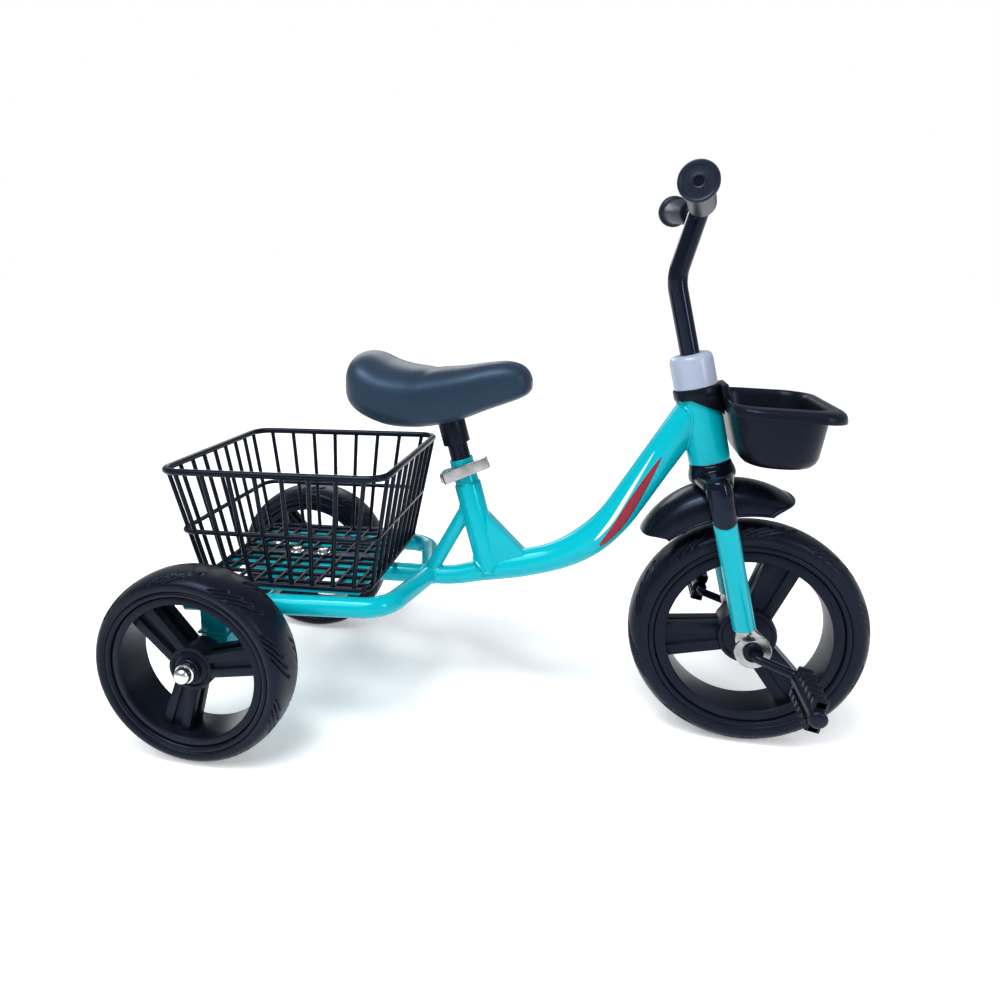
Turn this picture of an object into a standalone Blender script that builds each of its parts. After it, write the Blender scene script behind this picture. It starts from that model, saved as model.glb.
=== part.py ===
"""Children's pedal tricycle with a rear wire basket and a front tub.

Metres, +X forward, +Y to the rider's left, +Z up. The origin is on the ground, midway along the
length. Wheels stand on a flat facet of their tread, so their seat height is exactly their radius.
"""

import math

import bmesh
import bpy
from mathutils import Matrix, Vector

GAP = 0.0003  # between a piece and what it seats on
WELD = 1e-6

# Wheels
FRONT_RADIUS = 0.125
REAR_RADIUS = 0.1024
WHEELBASE = 0.5564
REAR_TRACK = 0.3116
WHEEL_STEPS = 36
FRONT_TYRE_WIDTH = 0.050
REAR_TYRE_WIDTH = 0.052
FRONT_LIP_RADIUS = 0.0975
REAR_LIP_RADIUS = 0.0806
FRONT_RIM_INNER = 0.0850
REAR_RIM_INNER = 0.0715
FRONT_CROWN_DROP = 0.0147
REAR_CROWN_DROP = 0.0102
TREAD_FLAT = 12  # degrees round the crown that are flat
FRONT_HUB_RADIUS = 0.0310
REAR_HUB_RADIUS = 0.0238
FRONT_HUB_HALF = 0.0240
FRONT_BOSS_RADIUS = 0.0110
REAR_BOSS_RADIUS = 0.0130
REAR_HUB_HALF = 0.0198
SPOKE_COUNT = 3
FRONT_SPOKE_WIDTH = 0.038
REAR_SPOKE_WIDTH = 0.030
FRONT_SPOKE_TURN = math.radians(70)
REAR_SPOKE_TURN = math.radians(13)
SPOKE_THICKNESS = 0.026
REAR_AXLE_RADIUS = 0.0050
RUNNING_CLEARANCE = 0.0003

# Steering: distances run along the steering axis from beside the front axle
STEER_LEAN = math.radians(15)
FORK_RAKE = 0.004
HEAD_RADIUS = 0.0213
HEAD_BORE = 0.0185
HEAD_LOW = 0.1945
HEAD_HIGH = 0.2632
STEERER_RADIUS = 0.0127
STEERER_BORE = 0.0104
STEERER_HIGH = 0.2960
BEARING_HEIGHT = 0.0080
COLLAR_HEIGHT = 0.0100
COLLAR_WALL = 0.0022
CAP_HEIGHT = 0.0340
CAP_RADIUS = 0.0220
CAP_WALL = 0.0022
NUT_HEIGHT = 0.0080
NUT_RADIUS = 0.0170
CROWN_LOW = 0.1755
CROWN_FLARE = 0.0032
SHROUD_RADIUS = 0.0130
SHROUD_LOW = 0.1390
LEG_RADIUS = 0.0117
LEG_SPACING = 0.0960
LEG_LOW = 0.0255
LEG_HIGH = 0.1700
EYE_RADIUS = 0.0185
EYE_THICKNESS = 0.0070
BUSH_RADIUS = 0.0072
BUSH_FLANGE = 0.0102

# Fender, in turns and radii about the front axle
FENDER_HALF_WIDTH = 0.0335
FENDER_THICKNESS = 0.0022
FENDER_LIP_RADIUS = 0.1410
FENDER_CROWN_RADIUS = 0.1735
FENDER_CROWN_TURN = 110.0
FENDER_CROWN_FALL = 1.6e-5
FENDER_TAIL_TURN = 138.5
FENDER_NOSE_TURN = 78.0
FENDER_LIP_TAIL_TURN = 131.0
FENDER_LIP_NOSE_TURN = 87.0

# Handlebar
STEM_RADIUS = 0.0098
STEM_INSERT = 0.0450
STEM_BEND = 0.3850
BAR_HEIGHT = 0.4450
BAR_FORWARD = 0.0340
BAR_BACK = 0.0135
BAR_RISE = 0.0133
BAR_HALF = 0.1260
GRIP_START = 0.0450
GRIP_END = 0.1300
GRIP_RADIUS = 0.0130
FLANGE_RADIUS = 0.0172
FLANGE_WIDTH = 0.0065

# Cranks and pedals
CRANK_RADIUS = 0.0045
CRANK_THROW = 0.0400
CRANK_TURN = math.radians(-13)
CRANK_BEND_IN = 0.0640
CRANK_BEND_OUT = 0.0740
PEDAL_IN = 0.0830
PEDAL_OUT = 0.1460
PEDAL_REACH = 0.0120
PEDAL_BAR_DEPTH = 0.0085
PEDAL_BAR_WIDTH = 0.0140
PEDAL_TILT = math.radians(80)
PEDAL_CAP_RADIUS = 0.0085

# Main tube: it falls straight from the head tube, sweeps level and runs on as the rear beam
MAIN_SLOPE = math.radians(59.5)
MAIN_MEET = 0.2560
MAIN_SWEEP_BACK = 0.1705  # behind the front axle
MAIN_SWEEP_HEIGHT = 0.2009
MAIN_SWEEP_BEND = 0.1500
MAIN_LOW_AHEAD = 0.2303  # of the rear axle
MAIN_LOW_HEIGHT = 0.1563
MAIN_LOW_BEND = 0.1200
MAIN_RADIUS = 0.0180
MAIN_MID_RADIUS = 0.0156
BEAM_RADIUS = 0.0108
REAR_PITCH = math.radians(2)

# Seat tube, clamp and post: distances run up the seat tube from its foot
SEAT_LEAN = math.radians(16)
SEAT_FOOT_AHEAD = 0.2737  # of the rear axle
SEAT_TUBE_WALL = 0.0038
SEAT_NECK_WALL = 0.0021
SEAT_NECK_LOW = 0.1050
SEAT_TUBE_TOP = 0.1322
POST_RADIUS = 0.0111
POST_LOW = 0.0450
POST_HIGH = 0.1700
SLOT_WIDTH = 0.0020
EAR_LENGTH = 0.0110
EAR_THICKNESS = 0.0045
CLAMP_HEIGHT = 0.1165
CLAMP_BOLT_RADIUS = 0.0025
LEVER_LENGTH = 0.0500
LEVER_WIDTH = 0.0115
LEVER_THICKNESS = 0.0050
LEVER_ROOM = 0.0014  # between the lever and the neck
CAM_RADIUS = 0.0052
CLAMP_BOLT_BACK = 0.55  # of the ears' length
STRUT_RADIUS = 0.0082
STRUT_TOP = 0.0830
GUSSET_HALF_WIDTH = 0.0085

# Saddle
PAN_TOP = 0.0085
PAN_THICKNESS = 0.0040
SADDLE_STEPS = 16
SADDLE = (  # along, half width, top and underside, from the top of the post
    (-0.1112, 0.0200, 0.0600, 0.0370),
    (-0.1082, 0.0390, 0.0690, 0.0240),
    (-0.0995, 0.0540, 0.0770, 0.0150),
    (-0.0855, 0.0610, 0.0772, PAN_TOP + GAP),
    (-0.0623, 0.0620, 0.0679, PAN_TOP + GAP),
    (-0.0373, 0.0570, 0.0644, PAN_TOP + GAP),
    (-0.0123, 0.0475, 0.0644, PAN_TOP + GAP),
    (0.0127, 0.0370, 0.0674, 0.0144),
    (0.0377, 0.0290, 0.0719, 0.0249),
    (0.0577, 0.0250, 0.0741, 0.0330),
    (0.0727, 0.0225, 0.0715, 0.0390),
    (0.0822, 0.0165, 0.0645, 0.0430),
    (0.0867, 0.0080, 0.0570, 0.0470),
)

# Rear rack, in the plane of the stays, which the pitch tilts about the rack's own origin
RACK_CENTRE_AHEAD = 0.0895  # of the rear axle
STAY_RADIUS = 0.0108
STAY_FRONT = 0.1140
STAY_SPLAY = 0.0900
STAY_TAPER = 0.0110  # how much nearer to the middle each stay is at its front bend
STAY_TYRE_ROOM = 0.0188
STAY_BEND = 0.0340
STAY_REAR = -0.1250
DECK_FRONT = 0.0620
DECK_REAR = -0.1220
DECK_EDGE_IN = 0.0150  # inside the stays' centre line
DECK_WINDOW_FRONT = -0.0100
DECK_WINDOW_REAR = -0.1000
DECK_WINDOW_LENGTH = 0.0400
DECK_WINDOW_SIDES = (0.0280, 0.0780)
DECK_THICKNESS = 0.0025
BRACKET_LENGTH = 0.0300
BRACKET_WIDTH = 0.0260
BRACKET_HUB_ROOM = 0.0120
BRACKET_PLATE = 0.0030
BRACKET_DROP = 0.0140
BOLT_RADIUS = 0.0058
BOLT_SHANK_RADIUS = 0.0030
BASKET_BOLTS = (-0.0480, -0.0150)

# Rear basket: its walls lean out from the floor to the rim
BASKET_HEIGHT = 0.1310
BASKET_FLOOR_FRONT = 0.0716
BASKET_FLOOR_REAR = -0.1200
BASKET_FLOOR_IN = 0.0010  # inside the deck's edge
BASKET_RIM_FRONT = 0.0980
BASKET_RIM_REAR = -0.1380
BASKET_FLARE = 0.0170
BASKET_MID = 0.46
WIRE = 0.0040
RIM_WIRE = 0.0060
LONG_WIRES = 9
CROSS_WIRES = 8
MOUNT_STRIP = 0.0140

# Front tub
TUB_FRONT = 0.0820
TUB_HALF_TOP = 0.0690
TUB_HALF_LOW = 0.0560
TUB_TOP = 0.3810
TUB_LOW = 0.3180
TUB_WALL = 0.0025
TUB_CLEARANCE = 0.0035
TUB_LIP = 0.0130
TUB_LIP_DROP = 0.0070
TUB_LIP_FRONT = 0.0190

# Worked out from the sizes above
FRONT_X = (REAR_RADIUS + WHEELBASE - FRONT_RADIUS) / 2
REAR_X = FRONT_X - WHEELBASE
MAIN_SWEEP = FRONT_X - MAIN_SWEEP_BACK
MAIN_LOW = REAR_X + MAIN_LOW_AHEAD
SEAT_FOOT = REAR_X + SEAT_FOOT_AHEAD
MAIN_RISE = (MAIN_SWEEP_HEIGHT - MAIN_LOW_HEIGHT) / (MAIN_SWEEP - MAIN_LOW)
SEAT_FOOT_HEIGHT = MAIN_LOW_HEIGHT + MAIN_RISE * (SEAT_FOOT - MAIN_LOW)
SEAT_TUBE_RADIUS = POST_RADIUS + SEAT_TUBE_WALL
SEAT_NECK_RADIUS = POST_RADIUS + SEAT_NECK_WALL
CLAMP_BOLT_X = -SEAT_NECK_RADIUS - EAR_LENGTH * CLAMP_BOLT_BACK
CLAMP_FACE = SLOT_WIDTH / 2 + EAR_THICKNESS
CAM_LENGTH = SEAT_NECK_RADIUS + LEVER_ROOM - CLAMP_FACE - 2 * GAP
COLLAR_RADIUS = HEAD_RADIUS + COLLAR_WALL
CROWN_RADIUS = HEAD_RADIUS + CROWN_FLARE
STAY_HALF_REAR = REAR_TRACK / 2 - REAR_TYRE_WIDTH / 2 - STAY_TYRE_ROOM
STAY_HALF = STAY_HALF_REAR - STAY_TAPER
DECK_HALF = STAY_HALF_REAR - DECK_EDGE_IN
BASKET_FLOOR_HALF = DECK_HALF - BASKET_FLOOR_IN
BASKET_RIM_HALF = BASKET_FLOOR_HALF + BASKET_FLARE
BRACKET_OUTER = REAR_TRACK / 2 - REAR_HUB_HALF - BRACKET_HUB_ROOM
BRACKET_INNER = BRACKET_OUTER - BRACKET_WIDTH
RACK_CENTRE = REAR_X + RACK_CENTRE_AHEAD
STEER_UP = Vector((-math.sin(STEER_LEAN), 0, math.cos(STEER_LEAN)))
STEER_FORWARD = Vector((math.cos(STEER_LEAN), 0, math.sin(STEER_LEAN)))
FRONT_AXLE = Vector((FRONT_X, 0, FRONT_RADIUS))
STEER_ORIGIN = FRONT_AXLE - FORK_RAKE * STEER_FORWARD
SEAT_ORIGIN = Vector((SEAT_FOOT, 0, SEAT_FOOT_HEIGHT))
RACK_HEIGHT = MAIN_LOW_HEIGHT + (RACK_CENTRE - MAIN_LOW) * math.tan(REAR_PITCH)
RACK_ORIGIN = Vector((RACK_CENTRE, 0, RACK_HEIGHT))
DECK_LOW = STAY_RADIUS + GAP
DECK_TOP = DECK_LOW + DECK_THICKNESS
COLLAR_LOW = HEAD_HIGH + GAP
COLLAR_HIGH = COLLAR_LOW + COLLAR_HEIGHT
CAP_LOW = COLLAR_HIGH + GAP
LEG_Y = LEG_SPACING / 2
SIDES = {"left": 1, "right": -1}


# ---------------------------------------------------------------- helpers

def clear_scene():
    for obj in list(bpy.data.objects):
        bpy.data.objects.remove(obj, do_unlink=True)


def finish(name, colour, roughness, metallic=0.0):
    """A plain Principled finish."""
    material = bpy.data.materials.new(name)
    material.use_nodes = True
    shader = material.node_tree.nodes["Principled BSDF"]
    shader.inputs["Base Color"].default_value = (*colour, 1)
    shader.inputs["Roughness"].default_value = roughness
    shader.inputs["Metallic"].default_value = metallic
    return material


def pivot(name, origin, lean=0.0, parent=None):
    """An empty on a joint's axis; a positive lean tips its Z axis backwards."""
    empty = bpy.data.objects.new(name, None)
    empty.empty_display_size = 0.03
    empty.location = origin
    empty.rotation_euler = (0, -lean, 0)
    empty.parent = parent
    bpy.context.scene.collection.objects.link(empty)
    return empty


def to_object(name, mesh_data, material, parent=None):
    """Closes the seams of the mesh, turns its faces outwards and links it."""
    bmesh.ops.remove_doubles(mesh_data, verts=mesh_data.verts, dist=WELD)
    bmesh.ops.recalc_face_normals(mesh_data, faces=mesh_data.faces)
    mesh = bpy.data.meshes.new(name)
    mesh_data.to_mesh(mesh)
    mesh_data.free()
    mesh.materials.append(material)
    mesh.shade_smooth()
    mesh.set_sharp_from_angle(angle=math.radians(35))
    obj = bpy.data.objects.new(name, mesh)
    obj.parent = parent
    bpy.context.scene.collection.objects.link(obj)
    return obj


def baked(obj):
    """Replaces the object's mesh by its evaluated one, so that its modifiers are applied."""
    bpy.context.view_layer.update()
    graph = bpy.context.evaluated_depsgraph_get()
    mesh = bpy.data.meshes.new_from_object(obj.evaluated_get(graph))
    obj.modifiers.clear()
    obj.data = mesh
    return obj


def combine(target, others, operation):
    """Booleans each of the others, made in the target's own frame, into it, then removes them."""
    for other in others:
        other.parent = target.parent
        modifier = target.modifiers.new(operation.lower(), "BOOLEAN")
        modifier.operation = operation
        modifier.solver = "EXACT"
        modifier.object = other
    baked(target)
    for other in others:
        bpy.data.objects.remove(other, do_unlink=True)
    return target


def joined(target, *others):
    return combine(target, others, "UNION")


def cut(target, *others):
    return combine(target, others, "DIFFERENCE")


def moved(obj, matrix):
    obj.data.transform(matrix)
    return obj


def turned(name, profile, material, parent=None, axis="Z", steps=24, centre=(0, 0, 0)):
    """Spins a closed (radius, height) outline; where it meets the axis it gets flat ends."""
    data = bmesh.new()
    loops = []
    for radius, height in profile:
        if radius == 0:
            loops.append(None)
            continue
        turns = [2 * math.pi * (i + 0.5) / steps for i in range(steps)]
        loops.append([data.verts.new((radius * math.cos(a), radius * math.sin(a), height)) for a in turns])
    for low, high in zip(loops, loops[1:] + loops[:1]):
        if low and high:
            for i in range(steps):
                data.faces.new((low[i - 1], low[i], high[i], high[i - 1]))
        elif low or high:
            data.faces.new(low or high)
    if axis == "Y":
        data.transform(Matrix.Rotation(math.radians(-90), 4, "X"))
    data.transform(Matrix.Translation(centre))
    return to_object(name, data, material, parent)


def rod(name, radius, low, high, material, parent=None, axis="Z", steps=24, centre=(0, 0, 0)):
    outline = [(0, low), (radius, low), (radius, high), (0, high)]
    return turned(name, outline, material, parent, axis, steps, centre)


def ring(name, outer, inner, low, high, material, parent=None, axis="Z", steps=24, centre=(0, 0, 0)):
    outline = [(inner, low), (outer, low), (outer, high), (inner, high)]
    return turned(name, outline, material, parent, axis, steps, centre)


def block(name, low, high, material, parent=None):
    """A box between two corners."""
    data = bmesh.new()
    bmesh.ops.create_cube(data, size=1)
    size = Vector(high) - Vector(low)
    centre = (Vector(high) + Vector(low)) / 2
    data.transform(Matrix.Translation(centre) @ Matrix.Diagonal((*size, 1)))
    return to_object(name, data, material, parent)


def prism(name, outline, low, high, material, parent=None, along="Y"):
    """Extrudes an outline in the XZ plane along Y, or one in the XY plane along Z."""
    data = bmesh.new()
    if along == "Y":
        points = [data.verts.new((a, low, b)) for a, b in outline]
        step = (0, high - low, 0)
    else:
        points = [data.verts.new((a, b, low)) for a, b in outline]
        step = (0, 0, high - low)
    face = data.faces.new(points)
    made = bmesh.ops.extrude_face_region(data, geom=[face])
    top = [item for item in made["geom"] if isinstance(item, bmesh.types.BMVert)]
    bmesh.ops.translate(data, verts=top, vec=step)
    return to_object(name, data, material, parent)


def rounded(corners, bends, steps=5):
    """The corner points of a path, each inner one replaced by an arc of its bend radius."""
    points = [Vector(corners[0])]
    for before, corner, after, bend in zip(corners, corners[1:], corners[2:], bends):
        back = (Vector(before) - Vector(corner)).normalized()
        ahead = (Vector(after) - Vector(corner)).normalized()
        half = back.angle(ahead) / 2
        middle = Vector(corner) + (back + ahead).normalized() * bend / math.sin(half)
        start = Vector(corner) + back * bend / math.tan(half) - middle
        end = Vector(corner) + ahead * bend / math.tan(half) - middle
        points += [middle + start.slerp(end, i / steps) * bend for i in range(steps + 1)]
    return points + [Vector(corners[-1])]


def tube(name, points, radius, material, parent=None, sides=16):
    """A solid tube along the points; the radius is a number or a function of the point."""
    curve = bpy.data.curves.new(name, "CURVE")
    curve.dimensions = "3D"
    curve.bevel_depth = 1
    curve.bevel_resolution = sides // 2 - 2
    curve.use_fill_caps = True
    spline = curve.splines.new("POLY")
    spline.points.add(len(points) - 1)
    for item, point in zip(spline.points, points):
        item.co = (*point, 1)
        item.radius = radius(point) if callable(radius) else radius
    guide = bpy.data.objects.new(name + "_path", curve)
    bpy.context.scene.collection.objects.link(guide)
    bpy.context.view_layer.update()
    graph = bpy.context.evaluated_depsgraph_get()
    mesh = bpy.data.meshes.new_from_object(guide.evaluated_get(graph))
    bpy.data.objects.remove(guide, do_unlink=True)
    data = bmesh.new()
    data.from_mesh(mesh)
    return to_object(name, data, material, parent)


def loft(name, rings, material, parent=None):
    """Bridges closed rings of points, which all have the same count, and caps both ends."""
    data = bmesh.new()
    loops = [[data.verts.new(point) for point in ring_points] for ring_points in rings]
    for low, high in zip(loops, loops[1:]):
        for i in range(len(low)):
            data.faces.new((low[i - 1], low[i], high[i], high[i - 1]))
    data.faces.new(loops[0])
    data.faces.new(loops[-1])
    return to_object(name, data, material, parent)


def leaned(origin, lean):
    """The matrix of a frame at the origin whose Z axis leans backwards."""
    return Matrix.Translation(origin) @ Matrix.Rotation(-lean, 4, "Y")


STEER_FRAME = leaned(STEER_ORIGIN, STEER_LEAN)
SEAT_FRAME = leaned(SEAT_ORIGIN, SEAT_LEAN)
RACK_FRAME = leaned(RACK_ORIGIN, REAR_PITCH)


# ---------------------------------------------------------------- frame

def main_tube_radius(point):
    """The main tube is full at the head, slimmer under the seat and slim as the rear beam."""
    stations = (
        (MAIN_LOW, BEAM_RADIUS),
        (MAIN_LOW + 0.030, BEAM_RADIUS + 0.0012),
        (SEAT_FOOT + 0.030, MAIN_MID_RADIUS),
        (MAIN_SWEEP - 0.045, MAIN_MID_RADIUS),
        (MAIN_SWEEP, MAIN_RADIUS),
    )
    if point[0] <= stations[0][0]:
        return stations[0][1]
    for (x0, r0), (x1, r1) in zip(stations, stations[1:]):
        if point[0] <= x1:
            return r0 + (r1 - r0) * (point[0] - x0) / (x1 - x0)
    return MAIN_RADIUS


def main_tube(paint):
    top = STEER_ORIGIN + MAIN_MEET * STEER_UP
    start = top - Vector((math.cos(MAIN_SLOPE), 0, math.sin(MAIN_SLOPE))) * 0.0085
    rear = RACK_FRAME @ Vector((DECK_REAR + 0.012, 0, 0))
    corners = [start, (MAIN_SWEEP, 0, MAIN_SWEEP_HEIGHT), (MAIN_LOW, 0, MAIN_LOW_HEIGHT), rear]
    path = rounded(corners, (MAIN_SWEEP_BEND, MAIN_LOW_BEND), steps=8)
    straight = [path[0].lerp(path[1], i / 3) for i in range(3)]
    level_from, level_to = path[9], path[10]
    level = [level_from.lerp(level_to, i / 4) for i in range(1, 4)]
    return tube("main_tube", straight + path[1:10] + level + path[10:], main_tube_radius, paint)


def head_tube(paint):
    shell = rod("head_tube", HEAD_RADIUS, HEAD_LOW, HEAD_HIGH, paint, steps=32)
    return moved(shell, STEER_FRAME)


def seat_tube(paint):
    outline = [
        (0, -0.004),
        (SEAT_TUBE_RADIUS, -0.004),
        (SEAT_TUBE_RADIUS, SEAT_NECK_LOW - 0.002),
        (SEAT_NECK_RADIUS, SEAT_NECK_LOW),
        (SEAT_NECK_RADIUS, SEAT_TUBE_TOP),
        (0, SEAT_TUBE_TOP),
    ]
    return moved(turned("seat_tube", outline, paint), SEAT_FRAME)


def clamp_ears(paint):
    """Two ears behind the neck, which the clamp bolt squeezes; the slot is cut later."""
    half = SLOT_WIDTH / 2 + EAR_THICKNESS
    low = (-SEAT_NECK_RADIUS - EAR_LENGTH, -half, CLAMP_HEIGHT - LEVER_WIDTH / 2)
    high = (-SEAT_NECK_RADIUS + 0.004, half, CLAMP_HEIGHT + LEVER_WIDTH / 2)
    return moved(block("clamp_ears", low, high, paint), SEAT_FRAME)


def strut(paint):
    foot = Vector((MAIN_LOW - 0.028, 0, MAIN_LOW_HEIGHT - 0.001))
    top = SEAT_FRAME @ Vector((0, 0, STRUT_TOP))
    return tube("strut", [foot, top], STRUT_RADIUS, paint, sides=12)


def gusset(paint):
    """A folded web that fills the corner in front of the seat tube."""
    top = SEAT_FRAME @ Vector((SEAT_TUBE_RADIUS - 0.002, 0, 0.062))
    inner = SEAT_FRAME @ Vector((0.002, 0, 0.010))
    outline = [
        (top.x, top.z),
        (inner.x, inner.z),
        (SEAT_FOOT + 0.030, SEAT_FOOT_HEIGHT + 0.006),
        (SEAT_FOOT + 0.040, SEAT_FOOT_HEIGHT + 0.022),
    ]
    return prism("gusset", outline, -GUSSET_HALF_WIDTH, GUSSET_HALF_WIDTH, paint)


def stays(paint):
    """One tube bent to a U: it crosses the main tube and runs back along both sides."""
    corners = [
        (STAY_REAR, -STAY_HALF_REAR, 0),
        (STAY_SPLAY, -STAY_HALF, 0),
        (STAY_FRONT, 0, 0),
        (STAY_SPLAY, STAY_HALF, 0),
        (STAY_REAR, STAY_HALF_REAR, 0),
    ]
    path = rounded(corners, (STAY_BEND, STAY_BEND, STAY_BEND), steps=6)
    return moved(tube("stays", path, STAY_RADIUS, paint), RACK_FRAME)


def axle_bracket(side, paint):
    """A folded plate under one stay, with a turned-out foot, that carries the axle."""
    half = BRACKET_LENGTH / 2
    inner, outer = sorted((side * BRACKET_INNER, side * BRACKET_OUTER))
    stay_height = RACK_HEIGHT + (REAR_X - RACK_CENTRE) * math.tan(REAR_PITCH)
    low = REAR_RADIUS - BRACKET_DROP
    body = block(
        f"bracket_{side}", (REAR_X - half, inner, low), (REAR_X + half, outer, stay_height), paint
    )
    foot_low = REAR_RADIUS + BRACKET_DROP
    foot = block(
        f"foot_{side}",
        (REAR_X - half - BRACKET_PLATE, inner - 0.001, foot_low),
        (REAR_X + half + BRACKET_PLATE, outer + 0.001, foot_low + BRACKET_PLATE),
        paint,
    )
    return joined(body, foot)


def bracket_hollow(side, paint):
    """The space inside a bracket's fold, open below."""
    half = BRACKET_LENGTH / 2 - BRACKET_PLATE
    inner, outer = sorted((side * (BRACKET_INNER + BRACKET_PLATE), side * (BRACKET_OUTER - BRACKET_PLATE)))
    high = REAR_RADIUS + BRACKET_DROP + 0.010
    low = REAR_RADIUS - BRACKET_DROP - 0.001
    return block(f"hollow_{side}", (REAR_X - half, inner, low), (REAR_X + half, outer, high), paint)


def frame(paint):
    """Every tube and plate that is welded into the one painted frame."""
    weldment = main_tube(paint)
    weldment.name = "frame"
    parts = [head_tube(paint), seat_tube(paint), clamp_ears(paint), strut(paint), gusset(paint)]
    parts += [stays(paint)]
    parts += [axle_bracket(side, paint) for side in SIDES.values()]
    joined(weldment, *parts)
    axle_hole = REAR_AXLE_RADIUS + RUNNING_CLEARANCE
    bore = POST_RADIUS + RUNNING_CLEARANCE
    head_bore = rod("head_bore", HEAD_BORE, HEAD_LOW - 0.002, HEAD_HIGH + 0.002, paint, steps=32)
    post_bore = rod("post_bore", bore, POST_LOW - 0.0200, SEAT_TUBE_TOP + 0.002, paint)
    clamp_hole = clamp_bolt_shank("clamp_hole", CLAMP_BOLT_RADIUS + RUNNING_CLEARANCE, 0.012, paint)
    ear_back = -SEAT_NECK_RADIUS - EAR_LENGTH - 0.001
    cutters = [
        moved(head_bore, STEER_FRAME),
        moved(post_bore, SEAT_FRAME),
        moved(
            block(
                "clamp_slot",
                (ear_back, -SLOT_WIDTH / 2, SEAT_NECK_LOW + 0.002),
                (-0.004, SLOT_WIDTH / 2, SEAT_TUBE_TOP + 0.002),
                paint,
            ),
            SEAT_FRAME,
        ),
        moved(clamp_hole, SEAT_FRAME),
        rod(
            "axle_hole", axle_hole, -REAR_TRACK, REAR_TRACK, paint,
            axis="Y", centre=(REAR_X, 0, REAR_RADIUS),
        ),
    ]
    cutters += [bracket_hollow(side, paint) for side in SIDES.values()]
    for i, x in enumerate(BASKET_BOLTS):
        hole = rod(
            f"bolt_hole_{i}", BOLT_SHANK_RADIUS + GAP, -0.004, DECK_TOP, paint, steps=12, centre=(x, 0, 0)
        )
        cutters.append(moved(hole, RACK_FRAME))
    return cut(weldment, *cutters)


# ---------------------------------------------------------------- seat post clamp

def clamp_bolt_shank(name, radius, half_length, material):
    centre = (CLAMP_BOLT_X, 0, CLAMP_HEIGHT)
    return rod(name, radius, -half_length, half_length, material, axis="Y", steps=12, centre=centre)


def clamp(chrome, parent):
    """A cross bolt with a round nut on the left and a cam block on the right."""
    face = CLAMP_FACE + GAP
    shank = clamp_bolt_shank("clamp_bolt", CLAMP_BOLT_RADIUS, CLAMP_FACE + 0.004, chrome)
    shank.parent = parent
    cam = block(
        "cam",
        (CLAMP_BOLT_X - 0.0060, -face - CAM_LENGTH, CLAMP_HEIGHT - CAM_RADIUS),
        (CLAMP_BOLT_X + 0.0055, -face, CLAMP_HEIGHT + CAM_RADIUS),
        chrome,
    )
    joined(shank, cam)
    nut = ring(
        "clamp_nut", 0.0060, CLAMP_BOLT_RADIUS + GAP, face, face + 0.0050, chrome, parent,
        axis="Y", steps=12, centre=(CLAMP_BOLT_X, 0, CLAMP_HEIGHT),
    )
    return shank, nut


def lever_hinge():
    """The lever's pin in the seat tube's frame: outside the cam, parallel to the tube."""
    y = -CLAMP_FACE - 2 * GAP - CAM_LENGTH - LEVER_THICKNESS / 2
    return Vector((CLAMP_BOLT_X, y, CLAMP_HEIGHT))


def quick_release_lever(chrome, parent):
    """A flat bar, round at its pin and at its tip, that lies along the tube's right side."""
    half = LEVER_THICKNESS / 2
    head = [
        (-half * math.sin(math.radians(a)), half * math.cos(math.radians(a)))
        for a in range(0, 181, 30)
    ]
    tip = [
        (LEVER_LENGTH + half * math.sin(math.radians(a)), -half * math.cos(math.radians(a)))
        for a in range(0, 181, 45)
    ]
    return prism(
        "quick_release_lever", head + tip, -LEVER_WIDTH / 2, LEVER_WIDTH / 2, chrome, parent, along="Z"
    )


# ---------------------------------------------------------------- wheels

def tyre(name, radius, width, lip, drop, material, parent):
    """A solid foam tyre: round crown, plain sidewalls and a flat seat on the rim."""
    true_radius = radius / math.cos(math.pi / WHEEL_STEPS)
    half = width / 2
    shoulder = true_radius - drop
    flat = math.cos(math.radians(TREAD_FLAT))
    crown = [
        (shoulder + drop * math.cos(math.radians(a)) / flat, half * math.sin(math.radians(a)))
        for a in (-90, -60, -36, -TREAD_FLAT, TREAD_FLAT, 36, 60, 90)
    ]
    outline = crown + [(lip + 0.004, half), (lip, half - 0.004), (lip, 0.004 - half), (lip + 0.004, -half)]
    return turned(name, outline, material, parent, axis="Y", steps=WHEEL_STEPS)


def hub_outline(radius, half, boss):
    """A round hub whose end faces step down to a small boss beside the fork or the bracket."""
    drop = 0.0060
    return [
        (0, -half), (boss, -half), (boss, drop - half), (radius - 0.002, drop - half),
        (radius, drop + 0.002 - half), (radius, half - drop - 0.002), (radius - 0.002, half - drop),
        (boss, half - drop), (boss, half), (0, half),
    ]


def spoked_rim(name, sizes, bore, material, parent):
    """A moulded rim: an outer band, three wide spokes and a round hub."""
    lip, inner, width, hub, hub_half, boss, spoke, turn = sizes
    half = width / 2 - 0.003
    bed = lip - GAP
    band = [
        (inner, -half + 0.004), (inner + 0.003, -half), (bed, -half),
        (bed, half), (inner + 0.003, half), (inner, half - 0.004),
    ]
    rim = turned(name, band, material, parent, axis="Y", steps=WHEEL_STEPS)
    centre = turned(name + "_hub", hub_outline(hub, hub_half, boss), material, axis="Y")
    arms = []
    for i in range(SPOKE_COUNT):
        outline = [
            (0.010, -spoke * 0.42), (inner + 0.004, -spoke / 2),
            (inner + 0.004, spoke / 2), (0.010, spoke * 0.42),
        ]
        arm = prism(f"{name}_spoke_{i}", outline, -SPOKE_THICKNESS / 2, SPOKE_THICKNESS / 2, material)
        angle = turn + 2 * math.pi * i / SPOKE_COUNT
        arms.append(moved(arm, Matrix.Rotation(-angle, 4, "Y")))
    joined(rim, centre, *arms)
    return cut(rim, rod(name + "_bore", bore, -0.06, 0.06, material, axis="Y"))


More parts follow.
